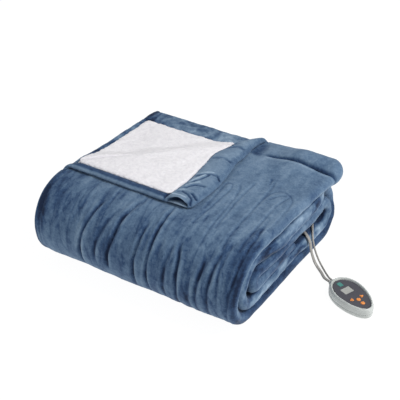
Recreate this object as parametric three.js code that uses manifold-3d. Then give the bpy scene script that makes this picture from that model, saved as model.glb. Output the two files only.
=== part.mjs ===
// Folded heated blanket: plush cloth with a sherpa lining, a heat controller and its two leads.
// Millimetres, +Z up. The origin is the middle of the folded blanket's underside.
// +X runs along the folds to the creased end, -Y is the broad front bend, +Y the open hems.
import * as THREE from "three";
import { mergeVertices } from "three/addons/utils/BufferGeometryUtils.js";
import Module from "manifold-3d";

const wasm = await Module();
wasm.setup();

// Cloth: two plies folded together along the crease at +X.
const ply = 11.6;
const plyGap = 0.8;
const plyMid = (ply + plyGap) / 2;
const leftEdge = -197;
const lowerLeftEdge = -195;
const headHem = 50;
const sideHem = 13;

// Wound path of the pair in the YZ plane, from the head hem at the top to the foot hem inside.
// Each run goes from yStart to yEnd while its middle goes from zStart to zEnd.
// bend is how far the fold after the run bulges, bendSteps its facets.
const runs = [
  { name: "hem", yStart: 176, yEnd: 120, zStart: 138, zEnd: 140.5, bend: 0, bendSteps: 0, steps: 0 },
  { name: "top", yStart: 120, yEnd: -118, zStart: 140.5, zEnd: 143.7, bend: 65.5, bendSteps: 9, steps: 0 },
  { name: "bottom", yStart: -118, yEnd: 128, zStart: 12, zEnd: 12, bend: 54, bendSteps: 7, steps: 3 },
  { name: "second", yStart: 128, yEnd: -118, zStart: 110, zEnd: 117.4, bend: 39.5, bendSteps: 7, steps: 3 },
  { name: "fifth", yStart: -118, yEnd: 128, zStart: 38.3, zEnd: 36.4, bend: 21.4, bendSteps: 6, steps: 3 },
  { name: "third", yStart: 128, yEnd: -112, zStart: 85.5, zEnd: 91, bend: 12, bendSteps: 5, steps: 3 },
  { name: "fourth", yStart: -112, yEnd: 20, zStart: 64.7, zEnd: 61.4, bend: 0, bendSteps: 0, steps: 2 },
];

// Creased end: how far +X it reaches along the path.
const creasedEnd = [
  { s: 0, x: 196 },
  { s: 2.5, x: 204 },
  { s: 8, x: 210 },
  { s: 25, x: 215 },
  { s: 50, x: 221 },
  { s: 110, x: 220 },
  { s: 300, x: 217 },
  { s: 400, x: 209 },
  { s: 500, x: 201 },
  { s: 660, x: 203 },
  { s: 765, x: 208 },
  { s: 800, x: 206 },
  { s: 820, x: 201 },
  { s: 835, x: 197 },
  { s: 865, x: 192 },
  { s: 895, x: 196 },
  { s: 925, x: 210 },
  { s: 960, x: 214 },
  { s: 1095, x: 216 },
  { s: 1125, x: 209 },
  { s: 1160, x: 204 },
  { s: 1300, x: 208 },
  { s: 1500, x: 207 },
  { s: 1640, x: 208 },
  { s: 1790, x: 211 },
  { s: 1850, x: 206 },
  { s: 2020, x: 203 },
];

// Uneven creases of the front bend, from left to right: where each crosses the top and the
// foot of the bend, its depth (a ridge is negative), and where along the path it runs.
const creases = [
  { high: -146, low: -154, depth: -1.2, from: 290, to: 455 },
  { high: -116, low: -128, depth: 1.6, from: 300, to: 450 },
  { high: -94, low: -113, depth: -1.4, from: 290, to: 449 },
  { high: -75, low: -99, depth: 5, from: 290, to: 447 },
  { high: -63, low: -83, depth: -1.6, from: 300, to: 449 },
  { high: -51, low: -69, depth: 2.8, from: 315, to: 420 },
  { high: -37, low: -51, depth: -1.4, from: 300, to: 440 },
  { high: -23, low: -34, depth: 5, from: 300, to: 430 },
  { high: 0, low: -10, depth: -2, from: 300, to: 455 },
  { high: 23, low: 15, depth: 3.4, from: 300, to: 459 },
  { high: 36, low: 27, depth: -1.4, from: 300, to: 455 },
  { high: 48, low: 38, depth: 3.2, from: 295, to: 449 },
  { high: 54, low: 50, depth: -1, from: 320, to: 450 },
  { high: 60, low: 62, depth: 2.4, from: 340, to: 450 },
  { high: 76, low: 78, depth: -1.6, from: 310, to: 449 },
  { high: 92, low: 94, depth: 3.2, from: 320, to: 449 },
  { high: 108, low: 108, depth: -1.4, from: 330, to: 449 },
  { high: 122, low: 122, depth: 2.6, from: 360, to: 449 },
  { high: 141, low: 136, depth: -1.6, from: 330, to: 459 },
  { high: 160, low: 150, depth: 4, from: 315, to: 461 },
  { high: 181, low: 171, depth: -1.6, from: 310, to: 455 },
  { high: 201, low: 187, depth: 3, from: 310, to: 449 },
];
const hemFrom = 62;
const creaseTop = 310;
const creaseFoot = 430;

// Turned-down corner: its fold runs slantwise between the side and head edges, foldLeg from
// where they meet. The turned part is pressed flatter than the rest and leaves the roll of
// the fold at flapLeg.
const foldLeg = 291;
const flapPly = 8;
const rollRadius = flapPly / 2 + 1.15;
const rollArc = Math.PI * rollRadius;
const flapLeg = foldLeg - rollArc * Math.SQRT2;
const flapSideHem = 17;
const flapCorner = 16;
const liningGap = 0.5;
const liningPile = 2.5;

// Slack of the fold: near the head edge it bends away from the creased end, and the turned
// part is drawn in, by shares of its flat width inside its head hem and across the hem.
const foldBend = { shift: 26, over: 90, power: 1.4 };
const drawnIn = [
  { s: 0, inside: 0.4, hem: 0.35 },
  { s: 20, inside: 0.4, hem: 0.4 },
  { s: 33, inside: 0.4, hem: 0.48 },
  { s: 62, inside: 0.4, hem: 0.6 },
  { s: 96, inside: 0.42, hem: 0.94 },
  { s: 131, inside: 0.72, hem: 1.01 },
  { s: 156, inside: 0.82, hem: 1.02 },
  { s: 178, inside: 0.865, hem: 1.03 },
  { s: 206, inside: 0.912, hem: 1.04 },
  { s: 280, inside: 0.92, hem: 1.04 },
];

// Lower ply beside the fold, risen where nothing presses on it, most towards the roll's side
// end. Its side edge is drawn in towards the head edge.
const exposedLeg = foldLeg - 22;
const exposedLoft = 5.5;
const exposedSideHem = 15.5;
const sideLoft = { from: 160, to: 240, high: 6 };
const lowerDrawIn = { most: 7, over: 170 };

// The head hem swells towards the creased end.
const headSwell = { from: 95, to: 155, low: 5, high: 15 };

// Arch of the top ply beside the turned corner: its peak and how far it reaches each way.
const arch = { x: 148, s: 56, across: 62, along: 52, high: 6.5 };

// Heat controller on the floor beyond the creased end, its neck towards the blanket.
const controller = {
  x: 322,
  y: 3.7,
  turn: (-28.2 * Math.PI) / 180,
  length: 97,
  width: 58,
  egg: 0.17,
  height: 19,
  floor: 14.2,
  plateTop: 18,
  frame: 6,
  neck: -3.1,
};
const partGap = 0.35;

// Push buttons: place on the controller, kind and, for an arrow, where its tip points.
const buttons = [
  { name: "button_down", u: 11.5, v: -9.6, kind: "arrow", heading: -Math.PI / 2 },
  { name: "button_up", u: 11.5, v: 10.4, kind: "arrow", heading: Math.PI / 2 },
  { name: "button_mode", u: 16.2, v: 0.6, kind: "round" },
  { name: "button_power", u: 27, v: 1.2, kind: "round" },
];
const buttonReach = { round: 3.7, arrow: 5 };
const lamp = { u: -31, v: -2.4, long: 10, wide: 8, lean: 0.1 };
const display = { u: -13, v: -1, long: 14.4, wide: 18.6, lean: 0.1 };
const leadHeight = 8.5;

// Leads: the control lead is round, the mains lead flat.
const controlDiameter = 3.5;
const mainsWidth = 5.6;
const mainsThickness = 2.8;

// Control lead from the foot hem, along the hollow of the folds and out to the controller.
const controlRoute = [
  [58.5, 20.6, 55.2],
  [57.5, 31, 54.6],
  [51, 44, 53],
  [38, 54, 51.8],
  [20, 59, 51.5],
  [-20, 61, 51.4],
  [-60, 61.5, 51.4],
  [-95, 62.5, 51.4],
  [-114, 67, 51.4],
  [-127, 77, 51.4],
  [-131, 90, 51.4],
  [-127, 103, 51.4],
  [-115, 113, 51.3],
  [-97, 117.5, 51.2],
  [-50, 118, 51.2],
  [0, 118, 51.2],
  [60, 118.5, 51.2],
  [120, 119.5, 51.2],
  [158, 120, 51.4],
  [178, 118.5, 52],
  [190, 112, 52.4],
  [199.5, 96, 51.5],
  [206, 84, 46],
  [211.5, 76.5, 38.5],
  [217.5, 72, 28],
  [223, 71, 16.5],
  [230, 68.5, 7.2],
  [238.5, 62.5, 3.2],
  [247, 54.5, 2.8],
  [257, 44, 4.6],
  [266.3, 34.3, 7.6],
  [274.5, 29.8, 8.5],
];

// Mains lead from the controller through the hollow, out of the open end and round the back.
const mainsRoute = [
  [271.6, 25, 8.5],
  [265, 28.6, 6.6],
  [255.8, 35.6, 3.4],
  [245.5, 46.5, 2],
  [235, 54.5, 3.2],
  [226.5, 59, 8],
  [220, 61.3, 17.5],
  [215, 62.5, 30],
  [210.5, 65.5, 43.5],
  [202, 70, 51.5],
  [189.5, 77, 53.8],
  [172, 84.5, 53],
  [145, 89, 52.2],
  [100, 91, 51.6],
  [40, 91, 51.4],
  [-30, 91, 51.4],
  [-80, 91, 51.6],
  [-108, 91, 53.6],
  [-131, 91, 56.4],
  [-154, 91.5, 54.4],
  [-180, 93, 52],
  [-200, 95, 50.6],
  [-216, 99, 46],
  [-227, 106, 36.5],
  [-232, 116, 24],
  [-234, 129, 12],
  [-232, 144, 4.4],
  [-226, 163, 2],
  [-214, 186, 2],
  [-196, 206, 2],
  [-172, 217, 2],
  [-144, 220.5, 2],
  [-98, 221, 2],
];

// Coil of the mains lead behind the blanket, and the plug beside it.
const coil = { x: -96, y: 264, middle: 33, wide: 12.4, high: 9.2, low: 1 };
const plug = {
  x: -32,
  y: 222,
  turn: 0.12,
  length: 26,
  wide: 22,
  high: 14,
  bladeLength: 15,
  bladeThick: 1.5,
  bladeHigh: 6.4,
  bladePitch: 6.35,
};
const tailRoute = [
  [-92, 221.2, 8],
  [-78, 221, 7.6],
  [-60, 220.8, 7.2],
  [-46, 220.6, 7],
  [-32.6, 221.6, 7],
];

const colours = {
  plush: 0x5a779a,
  lining: 0xebe9ee,
  housing: 0xc8cfce,
  panel: 0x53525c,
  display: 0xa9aba8,
  button: 0xec9a4a,
  lamp: 0x3f8f8a,
  lead: 0x9c9b98,
  blade: 0xb5a46a,
};

function material(colour, roughness, metalness = 0) {
  return new THREE.MeshStandardMaterial({ color: colour, roughness, metalness });
}

function smooth(u) {
  const t = Math.min(1, Math.max(0, u));
  return t * t * (3 - 2 * t);
}

function between(table, key, value, s) {
  let i = 0;
  while (i < table.length - 2 && table[i + 1][key] < s) {
    i += 1;
  }
  const a = table[i];
  const b = table[i + 1];
  const u = Math.min(1, Math.max(0, (s - a[key]) / (b[key] - a[key])));
  return a[value] + (b[value] - a[value]) * u;
}

// The path's middle line as points [y, z] with the distance along it, and the levels of s
// at which the cloth has a row of vertices.
function woundPath() {
  const fine = 60;
  const points = [];
  const marks = [];
  const add = (y, z) => {
    const last = points.at(-1);
    const step = last ? Math.hypot(y - last.y, z - last.z) : 0;
    if (!last || step > 1e-6) {
      points.push({ y, z, s: last ? last.s + step : 0 });
    }
    return points.at(-1).s;
  };
  runs.forEach((run, k) => {
    const start = add(run.yStart, run.zStart);
    for (let i = 1; i <= fine; i += 1) {
      const u = i / fine;
      add(run.yStart + (run.yEnd - run.yStart) * u, run.zStart + (run.zEnd - run.zStart) * u);
    }
    const end = points.at(-1).s;
    marks.push({ from: start, to: end, steps: run.steps });
    if (run.bend > 0) {
      const next = runs[k + 1];
      const side = Math.sign(run.yEnd - run.yStart);
      const middle = (run.zEnd + next.zStart) / 2;
      const rise = (run.zEnd - next.zStart) / 2;
      for (let i = 1; i < fine; i += 1) {
        const turn = (Math.PI * i) / fine;
        const y = run.yEnd + ((next.yStart - run.yEnd) * i) / fine;
        add(y + side * run.bend * Math.sin(turn), middle + rise * Math.cos(turn));
      }
      const out = add(next.yStart, next.zStart);
      marks.push({ from: end, to: out, steps: run.bendSteps });
    }
  });
  return { points, marks, length: points.at(-1).s };
}
const path = woundPath();

function onPath(s) {
  const first = path.points[0];
  const second = path.points[1];
  if (s < 0) {
    const u = s / second.s;
    return { y: first.y + (second.y - first.y) * u, z: first.z + (second.z - first.z) * u };
  }
  return { y: between(path.points, "s", "y", s), z: between(path.points, "s", "z", s) };
}

// A point at x, s along the path and n out of it. The outer side starts as the top face.
function place(x, s, n) {
  const reach = 3;
  const at = onPath(s);
  const before = onPath(Math.max(s - reach, s < 0 ? s - reach : 0));
  const after = onPath(Math.min(s + reach, path.length));
  const run = Math.hypot(after.y - before.y, after.z - before.z);
  const ty = (after.y - before.y) / run;
  const tz = (after.z - before.z) / run;
  return [x, at.y + n * tz, at.z - n * ty];
}

// A closed body from points and triangles, turned so that its faces point out.
function closedBody(points, triangles) {
  let volume = 0;
  for (const [a, b, c] of triangles) {
    const [p, q, r] = [points[a], points[b], points[c]];
    volume += p[0] * (q[1] * r[2] - q[2] * r[1]);
    volume += p[1] * (q[2] * r[0] - q[0] * r[2]);
    volume += p[2] * (q[0] * r[1] - q[1] * r[0]);
  }
  const indices = triangles.flatMap(([a, b, c]) => (volume > 0 ? [a, b, c] : [a, c, b]));
  const geometry = new THREE.BufferGeometry();
  geometry.setAttribute("position", new THREE.Float32BufferAttribute(points.flat(), 3));
  geometry.setIndex(indices);
  return geometry;
}

// Rings with the same number of points, joined in turn and closed at both ends.
function ringBody(rings, capContour) {
  const count = rings[0].length;
  const points = rings.flat();
  const triangles = [];
  for (let k = 0; k < rings.length - 1; k += 1) {
    for (let i = 0; i < count; i += 1) {
      const j = (i + 1) % count;
      const a = k * count + i;
      const b = k * count + j;
      triangles.push([a, b, b + count], [a, b + count, a + count]);
    }
  }
  const last = (rings.length - 1) * count;
  const caps = [
    { contour: capContour(0), base: 0, flip: true },
    { contour: capContour(rings.length - 1), base: last, flip: false },
  ];
  for (const { contour, base, flip } of caps) {
    const vectors = contour.map(([u, v]) => new THREE.Vector2(u, v));
    const along = Math.sign(THREE.ShapeUtils.area(vectors));
    for (const [a, b, c] of THREE.ShapeUtils.triangulateShape(vectors, [])) {
      const turn = Math.sign(THREE.ShapeUtils.area([vectors[a], vectors[b], vectors[c]]));
      const wound = (turn === along) !== flip ? [a, b, c] : [a, c, b];
      triangles.push(wound.map((i) => base + i));
    }
  }
  return closedBody(points, triangles);
}

function toSolid(geometry) {
  const bare = geometry.clone();
  bare.deleteAttribute("normal");
  bare.deleteAttribute("uv");
  const merged = mergeVertices(bare, 1e-4);
  return new wasm.Manifold(
    new wasm.Mesh({
      numProp: 3,
      vertProperties: new Float32Array(merged.attributes.position.array),
      triVerts: new Uint32Array(merged.index.array),
    }),
  );
}

function toGeometry(solid) {
  const mesh = solid.getMesh();
  const geometry = new THREE.BufferGeometry();
  geometry.setAttribute("position", new THREE.BufferAttribute(mesh.vertProperties.slice(), 3));
  geometry.setIndex(new THREE.BufferAttribute(mesh.triVerts.slice(), 1));
  return geometry;
}

// How full the ply is at a distance from a hemmed edge.
const edgeFullness = [
  { d: 0, e: 0.3 },
  { d: 2.5, e: 0.78 },
  { d: 8, e: 1 },
];

// Rise of a hem's padding above the cloth: a soft hump with a stitched groove at its inner side.
function hemRise(d, width, rise, groove) {
  const hump = d < width ? rise * Math.sin((Math.PI * d) / width) : 0;
  const away = Math.abs(d - width);
  return hump - (away < 4 ? groove * (1 - away / 4) : 0);
}

// Share of a soft rise at a distance from its peak.
function headHemRise(x) {
  const share = smooth((x - headSwell.from) / (headSwell.to - headSwell.from));
  return headSwell.low + (headSwell.high - headSwell.low) * share;
}

function drawIn(s) {
  return lowerDrawIn.most * (1 - smooth(s / lowerDrawIn.over));
}

function loft(b) {
  const share = smooth((b - sideLoft.from) / (sideLoft.to - sideLoft.from));
  return exposedLoft + sideLoft.high * share;
}

function swell(distance, reach) {
  return Math.abs(distance) < reach ? Math.cos((Math.PI * distance) / reach / 2) ** 2 : 0;
}

function creaseX(crease, s) {
  const u = (s - creaseTop) / (creaseFoot - creaseTop);
  return crease.high + (crease.low - crease.high) * Math.min(1, Math.max(0, u));
}

function creaseDepth(crease, s) {
  const u = (s - crease.from) / (crease.to - crease.from);
  return u > 0 && u < 1 ? crease.depth * Math.sin(Math.PI * u) ** 0.8 : 0;
}

// Outline of the pair of plies across the path, as points [x, n].
function outline(s) {
  const fromEnd = Math.min(s, path.length - s);
  const full = between(edgeFullness, "d", "e", fromEnd);
  const outer = plyMid + (ply / 2) * full;
  const inner = plyMid - (ply / 2) * full;
  const turn = between(creasedEnd, "s", "x", s) - outer;
  const squeeze = Math.min(1, (turn - 4 - hemFrom) / (creases.at(-1).high - hemFrom));
  const points = [];
  const lift = (x) => arch.high * swell(x - arch.x, arch.across) * swell(s - arch.s, arch.along);
  const hem = (x) => (hemRise(s, headHem, headHemRise(x), 2) * smooth((x - hemFrom) / 30) + lift(x)) * full;
  const groove = 1.6 * full;
  points.push([leftEdge + 4, outer], [leftEdge + sideHem, outer - groove]);
  for (const crease of creases) {
    const flat = creaseX(crease, s);
    const x = flat > hemFrom ? hemFrom + (flat - hemFrom) * squeeze : flat;
    points.push([x, outer - creaseDepth(crease, s) + hem(x)]);
  }
  points.push([turn, outer + hem(turn)]);
  for (const angle of [60, 30, 0, -30, -60]) {
    const a = (angle * Math.PI) / 180;
    const radius = outer + (hem(turn) * (1 + Math.sin(a))) / 2;
    points.push([turn + radius * Math.cos(a), radius * Math.sin(a)]);
  }
  const lowerEdge = lowerLeftEdge + drawIn(s);
  points.push([turn, -outer], [60, -outer], [-70, -outer], [lowerEdge + 4, -outer]);
  const shoulder = (ply / 2) * full * 0.7;
  points.push([lowerEdge + 0.8, -plyMid - shoulder], [lowerEdge, -plyMid]);
  points.push([lowerEdge + 0.8, -plyMid + shoulder], [lowerEdge + 4, -inner]);
  points.push([-70, -inner], [60, -inner], [turn, -inner], [turn + inner + 1.5, 0]);
  points.push([turn, inner], [60, inner], [-70, inner], [leftEdge + 4, inner]);
  points.push([leftEdge + 0.8, plyMid - shoulder], [leftEdge, plyMid], [leftEdge + 0.8, plyMid + shoulder]);
  return points;
}

// Rows of the cloth along the path: close together at the hems, even along runs and bends.
function pathLevels() {
  const hemRows = [0, 2.5, 8, 25, 42, headHem];
  const topRows = [80, 105, 160, 215, 255, foldLeg];
  const levels = [...hemRows];
  path.marks.forEach(({ from, to, steps }, k) => {
    if (k === 1) {
      levels.push(from, ...topRows, to);
      return;
    }
    for (let i = 1; i <= steps; i += 1) {
      levels.push(from + ((to - from) * i) / steps);
    }
  });
  levels.pop();
  levels.push(...[25, 8, 2.5, 0].map((d) => path.length - d));
  return levels;
}

function woundPair() {
  const levels = pathLevels();
  const rings = levels.map((s) => outline(s).map(([x, n]) => place(x, s, n)));
  return ringBody(rings, (k) => outline(levels[k]));
}

// How far the fold is bent away from the creased end at s.
function foldShift(s) {
  return foldBend.shift * Math.min(1, Math.max(0, 1 - s / foldBend.over)) ** foldBend.power;
}

// Where a point at x and s of an evenly turned corner comes to lie with the fold's slack.
function withSlack(x, s) {
  const straight = leftEdge + foldLeg - s;
  const past = x - straight;
  if (past <= 0) {
    return x - foldShift(s);
  }
  const hemStart = Math.max(0, s - rollArc / Math.SQRT2 - headHem);
  const inside = Math.min(past, hemStart) * between(drawnIn, "s", "inside", s);
  const hem = Math.max(0, past - hemStart) * between(drawnIn, "s", "hem", s);
  return straight + inside + hem - foldShift(s);
}

// What the turned corner takes away from the top ply.
function cornerCutter() {
  const past = 12;
  const side = 24;
  const over = 40;
  const levels = pathLevels().filter((s) => s <= foldLeg + 0.01 && s > 0);
  const rings = [-past, ...levels].map((s) => {
    const right = leftEdge + foldLeg - s - foldShift(s);
    const section = [
      [leftEdge - side, 0],
      [right, 0],
      [right, over],
      [leftEdge - side, over],
    ];
    return section.map(([x, n]) => place(x, s, n));
  });
  return ringBody(rings, () => [[0, 0], [1, 0], [1, 1], [0, 1]]);
}

// Fold of the top ply's corner: a and b are distances from the side and head edges of the
// flat cloth, m is out of the ply's middle. Returns x, s and n on the folded cloth.
function folded(a, b, m) {
  const beyond = (foldLeg - a - b) / Math.SQRT2;
  let reach = beyond;
  let n = plyMid + m;
  if (beyond > 0 && beyond < rollArc) {
    const turn = beyond / rollRadius;
    reach = (rollRadius - m) * Math.sin(turn);
    n = plyMid + rollRadius - (rollRadius - m) * Math.cos(turn);
  } else if (beyond >= rollArc) {
    reach = rollArc - beyond;
    n = plyMid + 2 * rollRadius - m;
  }
  const shift = (beyond - reach) / Math.SQRT2;
  return [withSlack(leftEdge + a + shift, b + shift), b + shift, n];
}

// Rounds the sharp corner of the turned part, at distances a and b from its two edges.
function rounded(a, b) {
  if (a >= flapCorner || b >= flapCorner) {
    return [a, b];
  }
  const u = 1 - a / flapCorner;
  const v = 1 - b / flapCorner;
  const inU = u * Math.sqrt(1 - (v * v) / 2);
  const inV = v * Math.sqrt(1 - (u * u) / 2);
  return [flapCorner * (1 - inU), flapCorner * (1 - inV)];
}

// Grid over a right-angled corner with equal legs, whose slanted side runs through nodes.
// levels are distances from the side edge; the head edge uses what is left of the leg.
function cornerGrid(levels, leg, keep) {
  const count = levels.length;
  const across = levels.map((a) => leg - a).reverse();
  const nodes = [];
  const index = new Map();
  const at = (i, j) => {
    const key = `${i},${j}`;
    if (!index.has(key)) {
      index.set(key, nodes.length);
      nodes.push([levels[i], across[j]]);
    }
    return index.get(key);
  };
  const triangles = [];
  for (let i = 0; i < count - 1; i += 1) {
    for (let j = 0; i + j < count - 1; j += 1) {
      const a = (levels[i] + levels[i + 1]) / 2;
      const b = (across[j] + across[j + 1]) / 2;
      if (!keep(a, b)) {
        continue;
      }
      triangles.push([at(i, j), at(i + 1, j), at(i, j + 1)]);
      if (i + j < count - 2) {
        triangles.push([at(i + 1, j), at(i + 1, j + 1), at(i, j + 1)]);
      }
    }
  }
  return { nodes, triangles };
}

// Carries the slanted side of a corner grid on around the roll by the given arc lengths.
function withRoll({ nodes, triangles }, leg, lengths) {
  const slanted = nodes
    .map(([a, b], index) => ({ a, b, index }))
    .filter(({ a, b }) => Math.abs(a + b - leg) < 1e-6)
    .sort((p, q) => p.a - q.a);
  const low = slanted[0];
  const high = slanted.at(-1);
  const allNodes = [...nodes];
  const allTriangles = [...triangles];
  let previous = slanted.map(({ index }) => index);
  for (const length of lengths) {
    const wide = leg + length * Math.SQRT2;
    const row = slanted.map(({ a }) => {
      const u = (a - low.a) / (high.a - low.a);
      const along = low.a + (wide - high.b - low.a) * u;
      allNodes.push([along, wide - along]);
      return allNodes.length - 1;
    });
    for (let i = 0; i < row.length - 1; i += 1) {
      allTriangles.push([previous[i], previous[i + 1], row[i]]);
      allTriangles.push([previous[i + 1], row[i + 1], row[i]]);
    }
    previous = row;
  }
  return { nodes: allNodes, triangles: allTriangles };
}

// A closed slab over a flat grid: top and bottom give each node's place in space.
function slab({ nodes, triangles }, top, bottom) {
  const count = nodes.length;
  const points = [...nodes.map(top), ...nodes.map(bottom)];
  const faces = [];
  const borders = new Map();
  for (const [a, b, c] of triangles) {
    faces.push([a, b, c], [a + count, c + count, b + count]);
    for (const [p, q] of [[a, b], [b, c], [c, a]]) {
      if (!borders.delete(`${q},${p}`)) {
        borders.set(`${p},${q}`, [p, q]);
      }
    }
  }
  for (const [p, q] of borders.values()) {
    faces.push([q, p, p + count], [q, p + count, q + count]);
  }
  return closedBody(points, faces);
}

const cuffRows = [0, 2.5, 8, 20, 34, 45, headHem, headHem + 4];
const sideRows = [0, 2.5, 6, 11, flapSideHem, flapSideHem + 4];
const flapMiddle = [45, 80, 112, 145];
const flapLevels = [...sideRows, ...flapMiddle, ...cuffRows.map((d) => flapLeg - d).reverse()];
const rollArcs = [0.2, 0.4, 0.6, 0.8, 1].map((u) => u * rollArc);

function hemmedRise(a, b) {
  const full = between(edgeFullness, "d", "e", a) * between(edgeFullness, "d", "e", b);
  const cuff = hemRise(b, headHem, 4.5, 1.8);
  const side = b > headHem ? hemRise(a, flapSideHem, 2.2, 1.4) : 0;
  return { full, rise: cuff + side };
}

// The corner of the top ply, turned over on a soft roll, lining side up. Its root lies inside
// the cloth that it grows out of.
function turnedCorner() {
  const root = rollArc + 4;
  const corner = cornerGrid(flapLevels, flapLeg, () => true);
  const grid = withRoll(corner, flapLeg, [...rollArcs, root]);
  const slim = 0.5;
  const half = (a, b) => {
    const beyond = (foldLeg - a - b) / Math.SQRT2;
    const widening = ply / 2 - slim - flapPly / 2;
    const share = smooth(1 - beyond / (0.35 * rollArc));
    return (flapPly / 2 + widening * share) * hemmedRise(a, b).full;
  };
  const top = ([a, b]) => {
    const { full, rise } = hemmedRise(a, b);
    const flat = a + b < flapLeg + 1 ? rise * full : 0;
    return place(...folded(...rounded(a, b), -half(a, b) - flat));
  };
  const bottom = ([a, b]) => place(...folded(...rounded(a, b), half(a, b)));
  return slab(grid, top, bottom);
}

// A point of the lower ply at distances a and b from its side and head edges, drawn back from
// the bent fold.
function onLowerPly(a, b, n) {
  const share = Math.min(1, Math.max(0, a / (exposedLeg - b)));
  return place(leftEdge + a - foldShift(b) * share + drawIn(b) * (1 - share), b, n);
}

// The lower ply's rise where the turned corner lays it open, with its two padded hems.
function exposedPad() {
  const inset = 2.5;
  const leg = exposedLeg - 2 * inset;
  const sides = [0, 3, 7, exposedSideHem - inset];
  const middle = [60, 105, 150];
  const heads = [0, 5, 14, 26, 38, headHem - inset];
  const levels = [...sides, ...middle, ...heads.map((d) => leg - d).reverse()];
  const grid = cornerGrid(levels, leg, () => true);
  const low = 3;
  const skin = 0.25;
  const rise = (a, b) => {
    const full = between(edgeFullness, "d", "e", a) * between(edgeFullness, "d", "e", b);
    const head = 3 * Math.sin(Math.PI * Math.min(1, b / (headHem - inset)));
    const side = 2 * Math.sin(Math.PI * Math.min(1, a / (exposedSideHem - inset)));
    return (loft(b) + Math.max(head, side)) * full;
  };
  const top = ([a, b]) => onLowerPly(inset + a, inset + b, -plyGap / 2 + skin + rise(a, b));
  const bottom = ([a, b]) => onLowerPly(inset + a, inset + b, -plyGap / 2 - low);
  return slab(grid, top, bottom);
}

function plushCloth() {
  let solid = toSolid(woundPair()).subtract(toSolid(cornerCutter()));
  solid = solid.add(toSolid(turnedCorner()));
  solid = solid.add(toSolid(exposedPad()));
  return toGeometry(solid);
}

// Corner grid whose legs start at given insets from the side and head edges.
function insetGrid(levels, leg, sideInset, headInset) {
  const inner = leg - sideInset - headInset;
  const grid = cornerGrid(levels.map((a) => a - sideInset), inner, () => true);
  return {
    nodes: grid.nodes.map(([a, b]) => [a + sideInset, b + headInset]),
    triangles: grid.triangles,
  };
}

const liningInset = 0.5;
const headInset = headHem + liningInset;

// Sherpa lining of the turned corner, inside its hems and over the roll.
function flapLining() {
  const sideInset = flapSideHem + liningInset;
  const inside = flapLevels.filter((a) => a > sideInset && a < flapLeg - headInset);
  const levels = [sideInset, ...inside, flapLeg - headInset];
  const grid = insetGrid(levels, flapLeg, sideInset, headInset);
  const rolled = withRoll(grid, flapLeg, rollArcs.slice(0, 3));
  const base = flapPly / 2 + liningGap;
  const top = ([a, b]) => place(...folded(a, b, -base - liningPile));
  const bottom = ([a, b]) => place(...folded(a, b, -base));
  return slab(rolled, top, bottom);
}

// Sherpa lining of the lower ply where the corner lays it open.
function exposedLining() {
  const sideInset = exposedSideHem + liningInset;
  const hemEnd = path.marks[0].to;
  const acrossRows = [hemEnd, 75, 110, 150, 190];
  const levels = [
    sideInset,
    sideInset + 12,
    ...acrossRows.map((b) => exposedLeg - b).reverse(),
    exposedLeg - headInset,
  ];
  const grid = insetGrid(levels, exposedLeg, sideInset, headInset);
  const low = (b) => -plyGap / 2 + loft(b) + 2 * liningGap;
  const top = ([a, b]) => onLowerPly(a, b, low(b) + liningPile);
  const bottom = ([a, b]) => onLowerPly(a, b, low(b));
  return slab(grid, top, bottom);
}

// Egg-shaped ring of points [x, y, z], inset from the controller's outline.
const eggSides = 32;
function eggRing(inset, z) {
  const ring = [];
  for (let i = 0; i < eggSides; i += 1) {
    const turn = (2 * Math.PI * i) / eggSides;
    const u = (controller.length / 2 - inset) * Math.cos(turn);
    const v = (controller.width / 2 - inset) * Math.sin(turn) * (1 - controller.egg * Math.cos(turn));
    ring.push([u, v, z]);
  }
  return ring;
}

function housing() {
  const profile = [
    { inset: 3.5, z: 0 },
    { inset: 1, z: 1.6 },
    { inset: 0, z: 5 },
    { inset: 0.3, z: 11 },
    { inset: 1.6, z: 16 },
    { inset: 3.2, z: 18.4 },
    { inset: 4.6, z: controller.height },
    { inset: 5.8, z: controller.height - 0.4 },
    { inset: controller.frame, z: controller.floor },
  ];
  const rings = profile.map(({ inset, z }) => eggRing(inset, z));
  return ringBody(rings, (k) => rings[k].map(([u, v]) => [u, v]));
}

function circleShape(x, y, radius) {
  const sides = 16;
  const shape = [];
  for (let i = 0; i < sides; i += 1) {
    const turn = (2 * Math.PI * i) / sides;
    shape.push(new THREE.Vector2(x + radius * Math.cos(turn), y + radius * Math.sin(turn)));
  }
  return shape;
}

// Triangle with rounded corners; heading is where its tip points, grow widens it all round.
function triangleShape(x, y, reach, heading, grow = 0) {
  const shape = [];
  const corner = 1.2;
  for (let k = 0; k < 3; k += 1) {
    const out = heading + (2 * Math.PI * k) / 3;
    for (const lean of [-0.9, 0, 0.9]) {
      const cx = x + (reach - 2 * corner) * Math.cos(out);
      const cy = y + (reach - 2 * corner) * Math.sin(out);
      const r = corner + grow;
      shape.push(new THREE.Vector2(cx + r * Math.cos(out + lean), cy + r * Math.sin(out + lean)));
    }
  }
  return shape;
}

function rectangleShape(x, y, wide, high, lean) {
  const corners = [[-1, -1], [1, -1], [1, 1], [-1, 1]];
  return corners.map(([i, j]) => {
    const u = (i * wide) / 2;
    const v = (j * high) / 2;
    const across = x + u * Math.cos(lean) - v * Math.sin(lean);
    return new THREE.Vector2(across, y + u * Math.sin(lean) + v * Math.cos(lean));
  });
}

function plate(outlinePoints, low, high, holes = []) {
  const shape = new THREE.Shape(outlinePoints);
  shape.holes = holes.map((hole) => new THREE.Path(hole));
  const geometry = new THREE.ExtrudeGeometry(shape, { depth: high - low, bevelEnabled: false });
  geometry.translate(0, 0, low);
  return geometry;
}

function buttonShape(button, grow = 0) {
  if (button.kind === "round") {
    return circleShape(button.u, button.v, buttonReach.round + grow);
  }
  return triangleShape(button.u, button.v, buttonReach.arrow, button.heading, grow);
}

function windowShape(window, grow = 0) {
  const { u, v, long, wide, lean } = window;
  return rectangleShape(u, v, long + 2 * grow, wide + 2 * grow, lean);
}

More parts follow.
